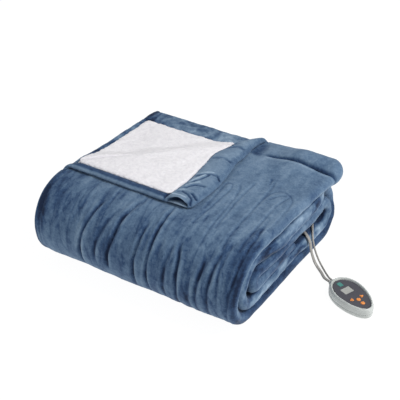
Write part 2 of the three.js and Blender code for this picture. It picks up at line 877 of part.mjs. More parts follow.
// Short collar where both leads enter the housing, narrower towards the leads.
function leadCollar() {
  const rows = [
    { u: -48.9, wide: 15, high: 10 },
    { u: -50.5, wide: 13.5, high: 9 },
    { u: -53.6, wide: 12.5, high: 6.5 },
  ];
  const sides = 12;
  const boxy = (value) => Math.sign(value) * Math.abs(value) ** 0.8;
  const rings = rows.map(({ u, wide, high }) => {
    const ring = [];
    for (let i = 0; i < sides; i += 1) {
      const turn = (2 * Math.PI * i) / sides;
      const v = (wide / 2) * boxy(Math.cos(turn));
      const z = (high / 2) * boxy(Math.sin(turn));
      ring.push([u, controller.neck + v, leadHeight + z]);
    }
    return ring;
  });
  return ringBody(rings, (k) => rings[k].map(([, v, z]) => [v, z]));
}

// A lead's route as a smooth curve whose section stays level, with its width across.
class LevelPath extends THREE.CatmullRomCurve3 {
  constructor(route) {
    super(route.map(([x, y, z]) => new THREE.Vector3(x, y, z)), false, "centripetal");
  }

  computeFrenetFrames(segments) {
    const up = new THREE.Vector3(0, 0, 1);
    const frames = { tangents: [], normals: [], binormals: [] };
    for (let i = 0; i <= segments; i += 1) {
      const tangent = this.getTangentAt(i / segments);
      const across = new THREE.Vector3().crossVectors(tangent, up).normalize();
      frames.tangents.push(tangent);
      frames.normals.push(across);
      frames.binormals.push(new THREE.Vector3().crossVectors(tangent, across));
    }
    return frames;
  }
}

function leadTube(route, wide, thick, steps) {
  const section = [];
  const sides = 8;
  for (let i = 0; i < sides; i += 1) {
    const turn = (2 * Math.PI * (i + 0.5)) / sides;
    const flatten = wide > thick ? 0.6 : 1;
    const u = (wide / 2) * Math.sign(Math.cos(turn)) * Math.abs(Math.cos(turn)) ** flatten;
    section.push(new THREE.Vector2(u, (thick / 2) * Math.sin(turn)));
  }
  const curve = new LevelPath(route);
  const options = { steps, extrudePath: curve, bevelEnabled: false };
  return new THREE.ExtrudeGeometry(new THREE.Shape(section), options);
}

// Plug body: a block that narrows towards the lead, resting on the floor.
function plugBlock() {
  const rows = [
    { u: 0, wide: 8, high: 7 },
    { u: 9, wide: 13, high: 10 },
    { u: 15, wide: plug.wide, high: plug.high },
    { u: plug.length, wide: plug.wide, high: plug.high },
  ];
  const corner = 2.5;
  const rings = rows.map(({ u, wide, high }) => {
    const y = wide / 2;
    const z = high / 2;
    const middle = plug.high / 2;
    return [
      [u, -y + corner, middle - z],
      [u, y - corner, middle - z],
      [u, y, middle - z + corner],
      [u, y, middle + z - corner],
      [u, y - corner, middle + z],
      [u, -y + corner, middle + z],
      [u, -y, middle + z - corner],
      [u, -y, middle - z + corner],
    ];
  });
  return ringBody(rings, (k) => rings[k].map(([, y, z]) => [y, z]));
}

function coilRing() {
  const inner = coil.middle - coil.wide / 2;
  const outer = coil.middle + coil.wide / 2;
  const top = coil.low + coil.high;
  const profile = [
    [inner, coil.low],
    [outer, coil.low],
    [outer, top],
    [inner, top],
    [inner, coil.low],
  ].map(([r, z]) => new THREE.Vector2(r, z));
  const geometry = new THREE.LatheGeometry(profile, 32);
  geometry.rotateX(Math.PI / 2);
  return geometry;
}

function coilTie() {
  const clear = 0.5;
  const thick = 0.5;
  const inner = rectangleShape(0, 0, coil.wide + 2 * clear, coil.high + 2 * clear, 0);
  const grow = 2 * (clear + thick);
  const outer = rectangleShape(0, 0, coil.wide + grow, coil.high + grow, 0);
  return plate(outer, -2, 2, [inner]);
}

const group = new THREE.Group();
function addMesh(name, geometry, look, parent = group) {
  const mesh = new THREE.Mesh(geometry, look);
  mesh.name = name;
  parent.add(mesh);
  return mesh;
}

addMesh("plush_cloth", plushCloth(), material(colours.plush, 0.9));
addMesh("flap_lining", flapLining(), material(colours.lining, 1));
addMesh("exposed_lining", exposedLining(), material(colours.lining, 1));

const handset = new THREE.Group();
handset.position.set(controller.x, controller.y, 0);
handset.rotation.z = controller.turn;
group.add(handset);
const plateLow = controller.floor + partGap;
const plateTop = controller.plateTop;
const openShapes = [lamp, display].map((window) => windowShape(window, partGap));
openShapes.push(...buttons.map((button) => buttonShape(button, partGap)));
const plateOutline = eggRing(controller.frame + partGap, 0).map(([u, v]) => new THREE.Vector2(u, v));
addMesh("controller_housing", housing(), material(colours.housing, 0.5), handset);
const facePlate = plate(plateOutline, plateLow, plateTop, openShapes);
addMesh("controller_face", facePlate, material(colours.panel, 0.45), handset);
const displayPlate = plate(windowShape(display), plateLow, plateTop - 0.3);
addMesh("controller_display", displayPlate, material(colours.display, 0.2), handset);
const lampPlate = plate(windowShape(lamp), plateLow, plateTop + 0.2);
addMesh("controller_lamp", lampPlate, material(colours.lamp, 0.3), handset);
addMesh("lead_collar", leadCollar(), material(colours.housing, 0.5), handset);
const buttonTravel = 0.8;
const capLow = controller.floor + buttonTravel + 0.4;
for (const button of buttons) {
  const cap = plate(buttonShape(button), capLow, plateTop + 1.2);
  addMesh(button.name, cap, material(colours.button, 0.35), handset);
}

const leadLook = material(colours.lead, 0.6);
addMesh("control_lead", leadTube(controlRoute, controlDiameter, controlDiameter, 80), leadLook);
addMesh("mains_lead", leadTube(mainsRoute, mainsWidth, mainsThickness, 74), leadLook);
addMesh("mains_lead_tail", leadTube(tailRoute, mainsWidth, mainsThickness, 5), leadLook);
const ring = addMesh("mains_coil", coilRing(), leadLook);
ring.position.set(coil.x, coil.y, 0);
const tie = addMesh("coil_tie", coilTie(), material(colours.panel, 0.7));
tie.rotation.x = Math.PI / 2;
tie.rotation.y = Math.PI / 2;
tie.position.set(coil.x, coil.y + coil.middle, coil.low + coil.high / 2);

const plugBody = new THREE.Group();
plugBody.position.set(plug.x, plug.y, 0);
plugBody.rotation.z = plug.turn;
group.add(plugBody);
addMesh("plug_body", plugBlock(), material(colours.lead, 0.6), plugBody);
const bladeX = plug.length + partGap + plug.bladeLength / 2;
for (const [index, side] of [-1, 1].entries()) {
  const blade = new THREE.BoxGeometry(plug.bladeLength, plug.bladeThick, plug.bladeHigh);
  const look = material(colours.blade, 0.3, 1);
  const mesh = addMesh(`plug_blade_${index + 1}`, blade, look, plugBody);
  mesh.position.set(bladeX, side * plug.bladePitch, plug.high / 2);
}

export default group;
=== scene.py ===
import math

import bmesh
import bpy
import numpy as np
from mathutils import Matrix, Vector


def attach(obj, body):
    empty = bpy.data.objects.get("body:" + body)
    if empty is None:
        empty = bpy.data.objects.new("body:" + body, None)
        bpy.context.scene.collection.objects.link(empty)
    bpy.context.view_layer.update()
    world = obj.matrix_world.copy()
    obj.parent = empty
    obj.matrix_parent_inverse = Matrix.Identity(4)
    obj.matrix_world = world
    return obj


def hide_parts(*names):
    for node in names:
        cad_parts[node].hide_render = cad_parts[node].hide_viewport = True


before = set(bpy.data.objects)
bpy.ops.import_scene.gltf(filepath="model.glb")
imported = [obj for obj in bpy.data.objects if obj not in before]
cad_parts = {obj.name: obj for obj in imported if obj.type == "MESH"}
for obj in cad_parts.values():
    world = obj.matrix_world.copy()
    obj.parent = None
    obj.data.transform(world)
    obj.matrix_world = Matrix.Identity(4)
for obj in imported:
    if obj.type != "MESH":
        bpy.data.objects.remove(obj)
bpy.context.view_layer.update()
MM = 0.001

# Camera, fitted to the photo's view.
VIEW_AZIMUTH = 32.02
VIEW_ELEVATION = 34.18
VIEW_DISTANCE = 1.690
VIEW_TARGET = (0.0068, 0.0241, 0.0846)
VIEW_LENS = 84.17


def add_object(name, data):
    made = bpy.data.objects.new(name, data)
    bpy.context.scene.collection.objects.link(made)
    return made


def add_aimed(name, data, spot, direction):
    """A camera or light at a spot, looking along a direction."""
    made = add_object(name, data)
    made.location = spot
    made.rotation_mode = "QUATERNION"
    made.rotation_quaternion = direction.to_track_quat("-Z", "Y")
    return made


def add_camera():
    azimuth = math.radians(VIEW_AZIMUTH)
    elevation = math.radians(VIEW_ELEVATION)
    flat = math.cos(elevation)
    back = Vector((math.sin(azimuth) * flat, -math.cos(azimuth) * flat, math.sin(elevation)))
    view = bpy.data.cameras.new("camera")
    view.lens = VIEW_LENS
    spot = Vector(VIEW_TARGET) + back * VIEW_DISTANCE
    bpy.context.scene.camera = add_aimed("camera", view, spot, -back)


def add_area(name, size, power, spot, aim, colour):
    light = bpy.data.lights.new(name, "AREA")
    light.shape = "DISK"
    light.size = size
    light.energy = power
    light.color = colour
    add_aimed(name, light, spot, Vector(aim) - Vector(spot))


# Node materials


def new_material(name):
    material = bpy.data.materials.new(name)
    material.use_nodes = True
    tree = material.node_tree
    return material, tree, tree.nodes["Principled BSDF"]


def set_inputs(made, values):
    for socket, value in values.items():
        made.inputs[socket].default_value = value


def object_coordinates(tree, scale=(1, 1, 1)):
    """Coordinates in metres, stretched by a scale."""
    coordinates = tree.nodes.new("ShaderNodeTexCoord")
    mapping = tree.nodes.new("ShaderNodeMapping")
    set_inputs(mapping, {"Scale": scale})
    tree.links.new(coordinates.outputs["Object"], mapping.inputs["Vector"])
    return mapping.outputs["Vector"]


def noise_value(tree, vector, scale, detail=3.0, roughness=0.55, distortion=0.0):
    noise = tree.nodes.new("ShaderNodeTexNoise")
    set_inputs(noise, {"Scale": scale, "Detail": detail, "Roughness": roughness, "Distortion": distortion})
    tree.links.new(vector, noise.inputs["Vector"])
    return noise.outputs["Fac"]


def paint(tree, bsdf, value, stops):
    """Base colour that runs through the stops as a value goes from 0 to 1."""
    made = tree.nodes.new("ShaderNodeValToRGB")
    elements = made.color_ramp.elements
    while len(elements) < len(stops):
        elements.new(0.5)
    for element, (position, colour) in zip(elements, stops):
        element.position = position
        element.color = (*colour, 1)
    tree.links.new(value, made.inputs["Fac"])
    tree.links.new(made.outputs["Color"], bsdf.inputs["Base Color"])


def bump(tree, bsdf, height, distance, strength, under=None):
    """Relief on the surface, over the relief of another bump."""
    made = tree.nodes.new("ShaderNodeBump")
    set_inputs(made, {"Distance": distance, "Strength": strength})
    tree.links.new(height, made.inputs["Height"])
    if under is not None:
        tree.links.new(under, made.inputs["Normal"])
    tree.links.new(made.outputs["Normal"], bsdf.inputs["Normal"])
    return made.outputs["Normal"]


def attribute(tree, name):
    made = tree.nodes.new("ShaderNodeAttribute")
    made.attribute_name = name
    return made.outputs["Fac"]


def weighted_sum(tree, terms, offset):
    total = None
    for value, weight in terms:
        made = tree.nodes.new("ShaderNodeMath")
        made.operation = "MULTIPLY_ADD"
        set_inputs(made, {1: weight, 2: offset})
        tree.links.new(value, made.inputs[0])
        if total is not None:
            tree.links.new(total, made.inputs[2])
        total = made.outputs[0]
    return total


PLUSH_TONES = [
    (0.00, (0.009, 0.019, 0.050)),
    (0.26, (0.033, 0.070, 0.150)),
    (0.50, (0.098, 0.163, 0.258)),
    (0.74, (0.178, 0.260, 0.366)),
    (1.00, (0.340, 0.450, 0.570)),
]
PLUSH_SHEEN = (0.62, 0.76, 0.95, 1)
SHERPA_TONES = [(0.30, (0.76, 0.75, 0.79)), (0.58, (0.86, 0.85, 0.88))]


def plush_material():
    """Velvety pile: its colour turns from deep to pale with the nap attribute, which holds the pile's own
    uneven tone and, over it, painted shade and painted highlights.
    """
    material, tree, bsdf = new_material("plush")
    across = object_coordinates(tree)
    mottle = noise_value(tree, across, 95, 5, 0.7, 0.6)
    fine = noise_value(tree, across, 300, 4, 0.75)
    # The nap attribute carries painted shade and painted highlights over the pile's own tone.
    terms = [(attribute(tree, "nap_and_painted_light"), 0.32), (mottle, 0.52), (fine, 0.40)]
    paint(tree, bsdf, weighted_sum(tree, terms, 0.04), PLUSH_TONES)
    set_inputs(bsdf, {"Roughness": 0.9, "Specular IOR Level": 0.12, "Sheen Tint": PLUSH_SHEEN})
    set_inputs(bsdf, {"Sheen Weight": 0.22, "Sheen Roughness": 0.45})
    ripple = bump(tree, bsdf, mottle, 0.0014, 0.55)
    pile = noise_value(tree, across, 800, 2, 0.6)
    bump(tree, bsdf, pile, 0.0006, 0.5, ripple)
    return material


def sherpa_material():
    """Pale curly pile with little colour of its own."""
    material, tree, bsdf = new_material("sherpa")
    across = object_coordinates(tree)
    clumps = noise_value(tree, across, 150, 4, 0.6, 0.4)
    paint(tree, bsdf, clumps, SHERPA_TONES)
    set_inputs(bsdf, {"Roughness": 1.0, "Specular IOR Level": 0.1})
    set_inputs(bsdf, {"Sheen Weight": 0.15, "Sheen Roughness": 0.6})
    curls = bump(tree, bsdf, clumps, 0.0018, 0.35)
    fibres = noise_value(tree, across, 900, 2, 0.7)
    bump(tree, bsdf, fibres, 0.0008, 0.4, curls)
    return material


def plastic_material(name, colour, roughness, grain=0.0, coat=0.0):
    """Moulded plastic, a little uneven in tone, with a fine grain or a clear coat."""
    material, tree, bsdf = new_material(name)
    across = object_coordinates(tree)
    patches = noise_value(tree, across, 45, 3)
    lighter = tuple(min(1, c * 1.05) for c in colour)
    darker = tuple(c * 0.93 for c in colour)
    paint(tree, bsdf, patches, [(0.35, darker), (0.65, lighter)])
    set_inputs(bsdf, {"Roughness": roughness, "Coat Weight": coat, "Coat Roughness": 0.15})
    if grain:
        bump(tree, bsdf, noise_value(tree, across, 1600, 2), 0.0002, grain)
    return material


def metal_material(name, colour, roughness):
    """Metal brushed along its length."""
    material, tree, bsdf = new_material(name)
    set_inputs(bsdf, {"Metallic": 1.0, "Roughness": roughness})
    brushed = noise_value(tree, object_coordinates(tree, (1, 12, 12)), 300, 2)
    darker = tuple(c * 0.8 for c in colour)
    paint(tree, bsdf, brushed, [(0.3, darker), (0.7, colour)])
    return material


# Smooth, repeatable noise


def smooth(u):
    t = np.clip(u, 0, 1)
    return t * t * (3 - 2 * t)


def step(value, start, width):
    """From 0 where a value is at start to 1 a width further. A negative width goes down from start."""
    return smooth((value - start) / width)


def hashed(i, j, k):
    """Repeatable values from 0 to 1 at whole-number places."""
    n = (i * 374761393 + j * 668265263 + k * 974634777) & 0xFFFFFFFF
    n = ((n ^ (n >> 13)) * 1274126177) & 0xFFFFFFFF
    return ((n ^ (n >> 16)) & 0xFFFF) / 65535.0


def value_noise(x, y, seed):
    """Smooth noise from -1 to 1 with one value for each unit of x and y."""
    i = np.floor(x).astype(np.int64)
    j = np.floor(y).astype(np.int64)
    u = smooth(x - i)
    v = smooth(y - j)
    low = hashed(i, j, seed) * (1 - u) + hashed(i + 1, j, seed) * u
    high = hashed(i, j + 1, seed) * (1 - u) + hashed(i + 1, j + 1, seed) * u
    return 2 * (low * (1 - v) + high * v) - 1


def rough(x, y, size, seed, octaves=3):
    """Noise of about -1 to 1 with features of the given size and finer ones in them."""
    x, y = np.broadcast_arrays(np.asarray(x, float), np.asarray(y, float))
    total = np.zeros(x.shape)
    weight = 1.0
    for k in range(octaves):
        turned_x = 0.8 * x + 0.6 * y
        turned_y = -0.6 * x + 0.8 * y
        total += weight * value_noise(turned_x / size + 7.3 * k, turned_y / size, seed + 17 * k)
        size /= 2.1
        weight *= 0.5
    return total


def noises(x, y, *terms):
    """Sum of noises, from the weight, size and seed of each, and its octaves if not three."""
    return sum(weight * rough(x, y, *kind) for weight, *kind in terms)


def along_noise(u, size, seed, octaves=2):
    """Noise that changes along one direction alone."""
    return rough(u, 0 * u, size, seed, octaves)


def swell(distance, reach):
    """One in the middle, easing to nothing at the given reach."""
    return np.cos(np.pi / 2 * np.clip(distance / reach, -1, 1)) ** 2


def bell(distance, width):
    return np.exp(-((distance / width) ** 2))


def eased(s, places, values, spread):
    """Values between a table's rows, with its kinks rounded off over the spread."""
    return sum(np.interp(s + d, places, values) for d in spread) / len(spread)


def softened(line):
    """A line of points with its corners cut twice."""
    line = np.asarray(line, float)
    for _ in range(2):
        cuts = np.stack([0.75 * line[:-1] + 0.25 * line[1:], 0.25 * line[:-1] + 0.75 * line[1:]], axis=1)
        line = np.vstack([line[:1], cuts.reshape(-1, 2), line[-1:]])
    return line


def run_lengths(points, power=1.0):
    """Running sum of a line's steps, each raised to a power, from 0 at its start."""
    steps = np.linalg.norm(np.diff(points, axis=0), axis=1)
    return np.concatenate([[0], np.cumsum(steps ** power)])


def line_distance(x, y, line):
    """Distance of points from a line through a list of (x, y) points."""
    best = np.full(np.shape(x), 1e9)
    for (x0, y0), (x1, y1) in zip(line, line[1:]):
        dx, dy = x1 - x0, y1 - y0
        along = ((x - x0) * dx + (y - y0) * dy) / (dx * dx + dy * dy)
        t = np.clip(along, 0, 1)
        best = np.minimum(best, np.hypot(x - x0 - t * dx, y - y0 - t * dy))
    return best


# Meshes

# Points nearer than this, in millimetres, become one.
MERGE = 0.05


def add_mesh(name, points, faces, material, nap_and_painted_light=None, merge=0.0):
    """A smooth mesh from points in millimetres, with points nearer than merge made one."""
    mesh = bpy.data.meshes.new(name)
    mesh.from_pydata((np.asarray(points, float) * MM).tolist(), [], faces)
    # The attribute holds the nap's tone with painted light and shade.
    if nap_and_painted_light is not None:
        layer = mesh.attributes.new("nap_and_painted_light", "FLOAT", "POINT")
        layer.data.foreach_set("value", np.asarray(nap_and_painted_light, np.float32).ravel())
    work = bmesh.new()
    work.from_mesh(mesh)
    if merge:
        bmesh.ops.remove_doubles(work, verts=work.verts, dist=merge * MM)
        bmesh.ops.dissolve_degenerate(work, edges=work.edges, dist=merge * MM * 0.1)
    bmesh.ops.recalc_face_normals(work, faces=work.faces)
    work.to_mesh(mesh)
    work.free()
    mesh.materials.append(material)
    mesh.shade_smooth()
    return add_object(name, mesh)


def grid_faces(rows, columns, closed=False):
    """Quads between neighbours of a grid of points, its columns joined up if closed."""
    index = np.arange(rows * columns).reshape(rows, columns)
    if closed:
        index = np.concatenate([index, index[:, :1]], axis=1)
    a, b = index[:-1, :-1], index[:-1, 1:]
    c, d = index[1:, 1:], index[1:, :-1]
    return np.stack([a, b, c, d], axis=-1).reshape(-1, 4).tolist()


def ring_mesh(name, rings, material, nap_and_painted_light=None, merge=0.0):
    """Closed rings of points joined in turn, with a flat cap on each end."""
    rings = np.asarray(rings, float)
    rows, columns, _ = rings.shape
    faces = grid_faces(rows, columns, closed=True)
    faces.append(list(range(columns)))
    faces.append([(rows - 1) * columns + i for i in reversed(range(columns))])
    return add_mesh(name, rings.reshape(-1, 3), faces, material, nap_and_painted_light, merge)


def slab_mesh(name, top, bottom, material, nap_and_painted_light=None):
    """A closed slab between two grids of points with one rim round them."""
    rows, columns, _ = top.shape
    count = rows * columns
    index = np.arange(count).reshape(rows, columns)
    faces = grid_faces(rows, columns)
    faces += [[count + i for i in reversed(face)] for face in faces]
    rim = np.concatenate([index[0, :-1], index[:-1, -1], index[-1, :0:-1], index[:0:-1, 0]])
    after = np.roll(rim, -1)
    faces += np.stack([after, rim, rim + count, after + count], axis=-1).tolist()
    points = np.concatenate([top.reshape(-1, 3), bottom.reshape(-1, 3)])
    both = None if nap_and_painted_light is None else np.concatenate([side.ravel() for side in nap_and_painted_light])
    return add_mesh(name, points, faces, material, both, MERGE)


# Leads: routes of (x, y, z) points, from where each lead starts to where it ends

CONTROL_DIAMETER = 3.5
MAINS_WIDTH = 5.6
MAINS_THICKNESS = 2.8
CONTROL_ROUTE = [
    (58.5, 20.6, 55.2), (57.5, 31, 54.6), (51, 44, 53), (38, 54, 51.8), (20, 59, 51.5),
    (-20, 61, 51.4), (-60, 61.5, 51.4), (-95, 62.5, 51.4), (-114, 67, 51.4), (-127, 77, 51.4),
    (-131, 90, 51.4), (-127, 103, 51.4), (-115, 113, 51.3), (-97, 117.5, 51.2), (-50, 118, 51.2),
    (0, 118, 51.2), (60, 118.5, 51.2), (120, 119.5, 51.2), (158, 120, 51.4), (178, 118.5, 52),
    (190, 112, 52.4), (199.5, 96, 51.5), (206, 84, 46), (211.5, 76.5, 38.5), (217.5, 72, 28),
    (223, 71, 16.5), (230, 68.5, 7.2), (238.5, 62.5, 3.2), (247, 54.5, 2.8), (257, 44, 4.6),
    (266.3, 34.3, 7.6), (274.5, 29.8, 8.5),
]
MAINS_ROUTE = [
    (271.6, 25, 8.5), (265, 28.6, 6.6), (255.8, 35.6, 3.4), (245.5, 46.5, 2), (235, 54.5, 3.2),
    (226.5, 59, 8), (220, 61.3, 17.5), (215, 62.5, 30), (210.5, 65.5, 43.5), (202, 70, 51.5),
    (189.5, 77, 53.8), (172, 84.5, 53), (145, 89, 52.2), (100, 91, 51.6), (40, 91, 51.4),
    (-30, 91, 51.4), (-80, 91, 51.6), (-108, 91, 53.6), (-131, 91, 56.4), (-154, 91.5, 54.4),
    (-180, 93, 52), (-200, 95, 50.6), (-216, 99, 46), (-227, 106, 36.5), (-232, 116, 24),
    (-234, 129, 12), (-232, 144, 4.4), (-226, 163, 2), (-214, 186, 2), (-196, 206, 2), (-172, 217, 2),
    (-144, 220.5, 2),
]
TAIL_ROUTE = [(-60, 220.8, 7.2), (-46, 220.6, 7), (-32.6, 221.6, 7)]

# Coil: its middle, the spacing of its lanes, the heights of its layers, and the lane and layer
# in which the lead comes in and makes each turn.
COIL_X = -96
COIL_Y = 264
COIL_LANE = 2.95
COIL_STEPS = 36
COIL_MIDDLE = 33
COIL_LAYERS = (2.5, 5.6, 8.7)
COIL_START = (3.2, 0)
COIL_TURNS = [(1, 0), (-1, 0), (-1, 1), (1, 1), (1, 2)]


def coil_points():
    """The coil's turns, from the side nearest the blanket round to it again."""
    u = np.arange(COIL_STEPS) / COIL_STEPS
    share = smooth(u / 0.22)
    angle = 2 * np.pi * u - np.pi / 2
    points = []
    for (from_lane, from_layer), (lane, layer) in zip([COIL_START, *COIL_TURNS], COIL_TURNS):
        low, high = COIL_LAYERS[from_layer], COIL_LAYERS[layer]
        radius = COIL_MIDDLE + COIL_LANE * (from_lane + (lane - from_lane) * share)
        x, y = COIL_X + radius * np.cos(angle), COIL_Y + radius * np.sin(angle)
        points += zip(x, y, low + (high - low) * share)
    near_y, top_z = COIL_Y - COIL_MIDDLE - COIL_LANE, COIL_LAYERS[2]
    return [*points, (COIL_X, near_y - 0.3, top_z), (COIL_X + 14, near_y - 3.2, top_z - 0.5)]


def blend(t, t0, t1, p0, p1):
    """Between p0 at t0 and p1 at t1."""
    return ((t1 - t) * p0 + (t - t0) * p1) / (t1 - t0)


def curve_through(route, spacing):
    """Evenly spaced points on a smooth curve through a route."""
    route = np.asarray(route, float)
    knots = run_lengths(route, 0.5)
    extended = np.vstack([2 * route[0] - route[1], route, 2 * route[-1] - route[-2]])
    times = np.concatenate([[2 * knots[0] - knots[1]], knots, [2 * knots[-1] - knots[-2]]])
    points = []
    for k in range(1, len(route)):
        at = times[k - 1:k + 3]
        p = extended[k - 1:k + 3]
        t = np.linspace(at[1], at[2], 24, endpoint=False)[:, None]
        a = [blend(t, at[i], at[i + 1], p[i], p[i + 1]) for i in range(3)]
        b = [blend(t, at[i], at[i + 2], a[i], a[i + 1]) for i in range(2)]
        points.append(blend(t, at[1], at[2], *b))
    points = np.vstack([*points, route[-1:]])
    along = run_lengths(points)
    count = int(round(along[-1] / spacing))
    places = np.linspace(0, along[-1], count + 1)
    return np.stack([np.interp(places, along, points[:, k]) for k in range(3)], axis=-1), along[-1]


def boxy_turn(count, across, upward, start=0.0):
    """Cosine and sine round one turn, squared up by powers below one."""
    turns = 2 * np.pi * (np.arange(count) + start) / count
    c, s = np.cos(turns), np.sin(turns)
    return np.sign(c) * np.abs(c) ** across, np.sign(s) * np.abs(s) ** upward


def boxy_rings(rows, count, power, v=0.0, z=0.0):
    """Rings with boxy outlines round v and z, from the u, width and height of each."""
    c, s = boxy_turn(count, power, power)
    return np.array([
        np.column_stack([u + 0 * c, v + wide / 2 * c, z + high / 2 * s]) for u, wide, high in rows
    ])


def turned_to(points, x, y, turn):
    """Points of a piece's own u, v and z, turned and moved to where it lies."""
    c, s = math.cos(turn), math.sin(turn)
    u, v, z = (points[..., k] for k in range(3))
    return np.stack([x + u * c - v * s, y + u * s + v * c, z], axis=-1)


def lead(name, route, wide, thick, material, sides=16):
    """A tube whose width stays level, and the line that it follows."""
    line, length = curve_through(route, 2.0)
    tangent = np.gradient(line, axis=0)
    tangent /= np.linalg.norm(tangent, axis=1)[:, None]
    across = np.cross(tangent, (0, 0, 1))
    across /= np.linalg.norm(across, axis=1)[:, None]
    upward = np.cross(across, tangent)
    c, s = boxy_turn(sides, 0.6 if wide > thick else 1.0, 1.0, 0.5)
    u = (wide / 2 * c)[None, :, None]
    v = (thick / 2 * s)[None, :, None]
    rings = line[:, None] + across[:, None] * u + upward[:, None] * v
    return ring_mesh(name, rings, material), line * MM, length * MM


# Cloth: two plies folded together along the crease at +X

PLY = 11.6
PLY_GAP = 0.8
PLY_MIDDLE = (PLY + PLY_GAP) / 2
LEFT_EDGE = -197.0
LOWER_LEFT_EDGE = -195.0
RIM_RADIUS = 4.0
RIM_LEANS = np.radians([[-70, -35, 0, 35, 70]])
HEAD_HEM = 50.0
SIDE_HEM = 13.0

# Wound path in the YZ plane: y and z at the start and end of each run, and the bulge of
# the fold after it.
RUNS = [
    (176, 120, 138, 140.5, 0),
    (120, -118, 140.5, 143.7, 65.5),
    (-118, 128, 12, 12, 54),
    (128, -118, 110, 117.4, 39.5),
    (-118, 128, 38.3, 36.4, 21.4),
    (128, -112, 85.5, 91, 12),
    (-112, 20, 64.7, 61.4, 0),
]
# Steps of each run and each bend.
PATH_STEPS = 60

# Creased end at distances s along the path: how far +X it reaches, and how pale or deep it is painted
# there, painted highlights and painted shade that pick out its layers.
CREASED_S = (0, 2.5, 8, 25, 50, 110, 300, 400, 500, 660, 765, 800, 820, 835, 865, 895, 925, 960,
             1095, 1125, 1160, 1300, 1500, 1640, 1790, 1850, 2020)
CREASED_X = (196, 204, 210, 215, 221, 218, 214, 209, 201, 203, 208, 206, 201, 197, 192, 196, 210, 214,
             216, 209, 204, 204, 206, 211, 211, 206, 203)
END_PAINTED_LIGHT_S = (0, 60, 290, 330, 440, 500, 740, 818, 840, 900, 1085, 1125, 1200, 1270, 1300, 1520,
          1550, 1640, 1680, 1740, 1830, 1870, 2010)
END_PAINTED_LIGHT = (0.3, 0, 0, -0.2, -0.5, -0.8, -0.6, -0.8, 0.1, 0.3, 0.4, -0.3, 0, 0.3, 0.4, 0.4,
        0.2, 0.2, 0.1, -0.5, -0.5, 0.3, -0.5)
FRONT_BEND_END = 501.0
BACK_BEND = (746.0, 908.0)


def wound_path():
    """Distances along the cloth's path and its points."""
    u = np.arange(1, PATH_STEPS + 1) / PATH_STEPS
    points = [(RUNS[0][0], RUNS[0][2])]
    for run, (y0, y1, z0, z1, bend) in enumerate(RUNS):
        points.append(np.column_stack([y0 + (y1 - y0) * u, z0 + (z1 - z0) * u]))
        if bend:
            next_y, _, next_z, _, _ = RUNS[run + 1]
            y = y1 + (next_y - y1) * u + math.copysign(bend, y1 - y0) * np.sin(np.pi * u)
            z = (z1 + next_z) / 2 + (z1 - next_z) / 2 * np.cos(np.pi * u)
            points.append(np.column_stack([y, z]))
    points = np.vstack(points)
    return run_lengths(points), points


PATH_S, PATH_YZ = wound_path()
PATH_LENGTH = PATH_S[-1]


def on_path(s):
    """y and z at s along the path, which goes straight on before its start."""
    y = np.interp(s, PATH_S, PATH_YZ[:, 0])
    z = np.interp(s, PATH_S, PATH_YZ[:, 1])
    before = np.minimum(s, 0) / PATH_S[1]
    first, second = PATH_YZ[0], PATH_YZ[1]
    return y + (second[0] - first[0]) * before, z + (second[1] - first[1]) * before


def place(x, s, n):
    """Points at x, s along the path and n out of it."""
    x, s, n = np.broadcast_arrays(*(np.asarray(v, float) for v in (x, s, n)))
    reach = 3.0
    y, z = on_path(s)
    y0, z0 = on_path(np.where(s < 0, s - reach, np.maximum(s - reach, 0)))
    y1, z1 = on_path(np.minimum(s + reach, PATH_LENGTH))
    run = np.hypot(y1 - y0, z1 - z0)
    return np.stack([x, y + n * (z1 - z0) / run, z - n * (y1 - y0) / run], axis=-1)


# Turned-down corner: how far its fold reaches along both edges, its ply, and how it is drawn in
FOLD_LEG = 291.0
FLAP_PLY = 8.0
ROLL_RADIUS = FLAP_PLY / 2 + 1.15
ROLL_ARC = math.pi * ROLL_RADIUS
ROOT2 = math.sqrt(2)
FLAP_SIDE_HEM = 17.0
FLAP_CORNER = 16.0
MOUTH_MIDDLE = 24.0
MOUTH_HALF = 19.5
MOUTH_DEPTH = 14.0
FOLD_SHIFT = 26.0
FOLD_SHIFT_OVER = 90.0
FOLD_SHIFT_POWER = 1.4
DRAWN_S = (0, 20, 33, 62, 96, 131, 156, 178, 206, 280)
DRAWN_INSIDE = (0.4, 0.4, 0.4, 0.4, 0.42, 0.72, 0.82, 0.865, 0.912, 0.92)
DRAWN_HEM = (0.35, 0.4, 0.48, 0.6, 0.94, 1.01, 1.02, 1.03, 1.04, 1.04)
DRAWN_SPREAD = (-14, -7, 0, 7, 14)


def fold_shift(s):
    """How far the turned corner's fold is drawn to the left near the head hem."""
    return FOLD_SHIFT * np.clip(1 - s / FOLD_SHIFT_OVER, 0, 1) ** FOLD_SHIFT_POWER


def with_slack(x, s):
    """Where a point of an evenly turned corner comes to lie with the fold's slack."""
    straight = LEFT_EDGE + FOLD_LEG - s
    past = x - straight
    hem_start = np.maximum(0, s - ROLL_ARC / ROOT2 - HEAD_HEM)
    inside = np.minimum(past, hem_start) * eased(s, DRAWN_S, DRAWN_INSIDE, DRAWN_SPREAD)
    hem = np.maximum(0, past - hem_start) * eased(s, DRAWN_S, DRAWN_HEM, DRAWN_SPREAD)
    return np.where(past > 0, straight + inside + hem, x) - fold_shift(s)


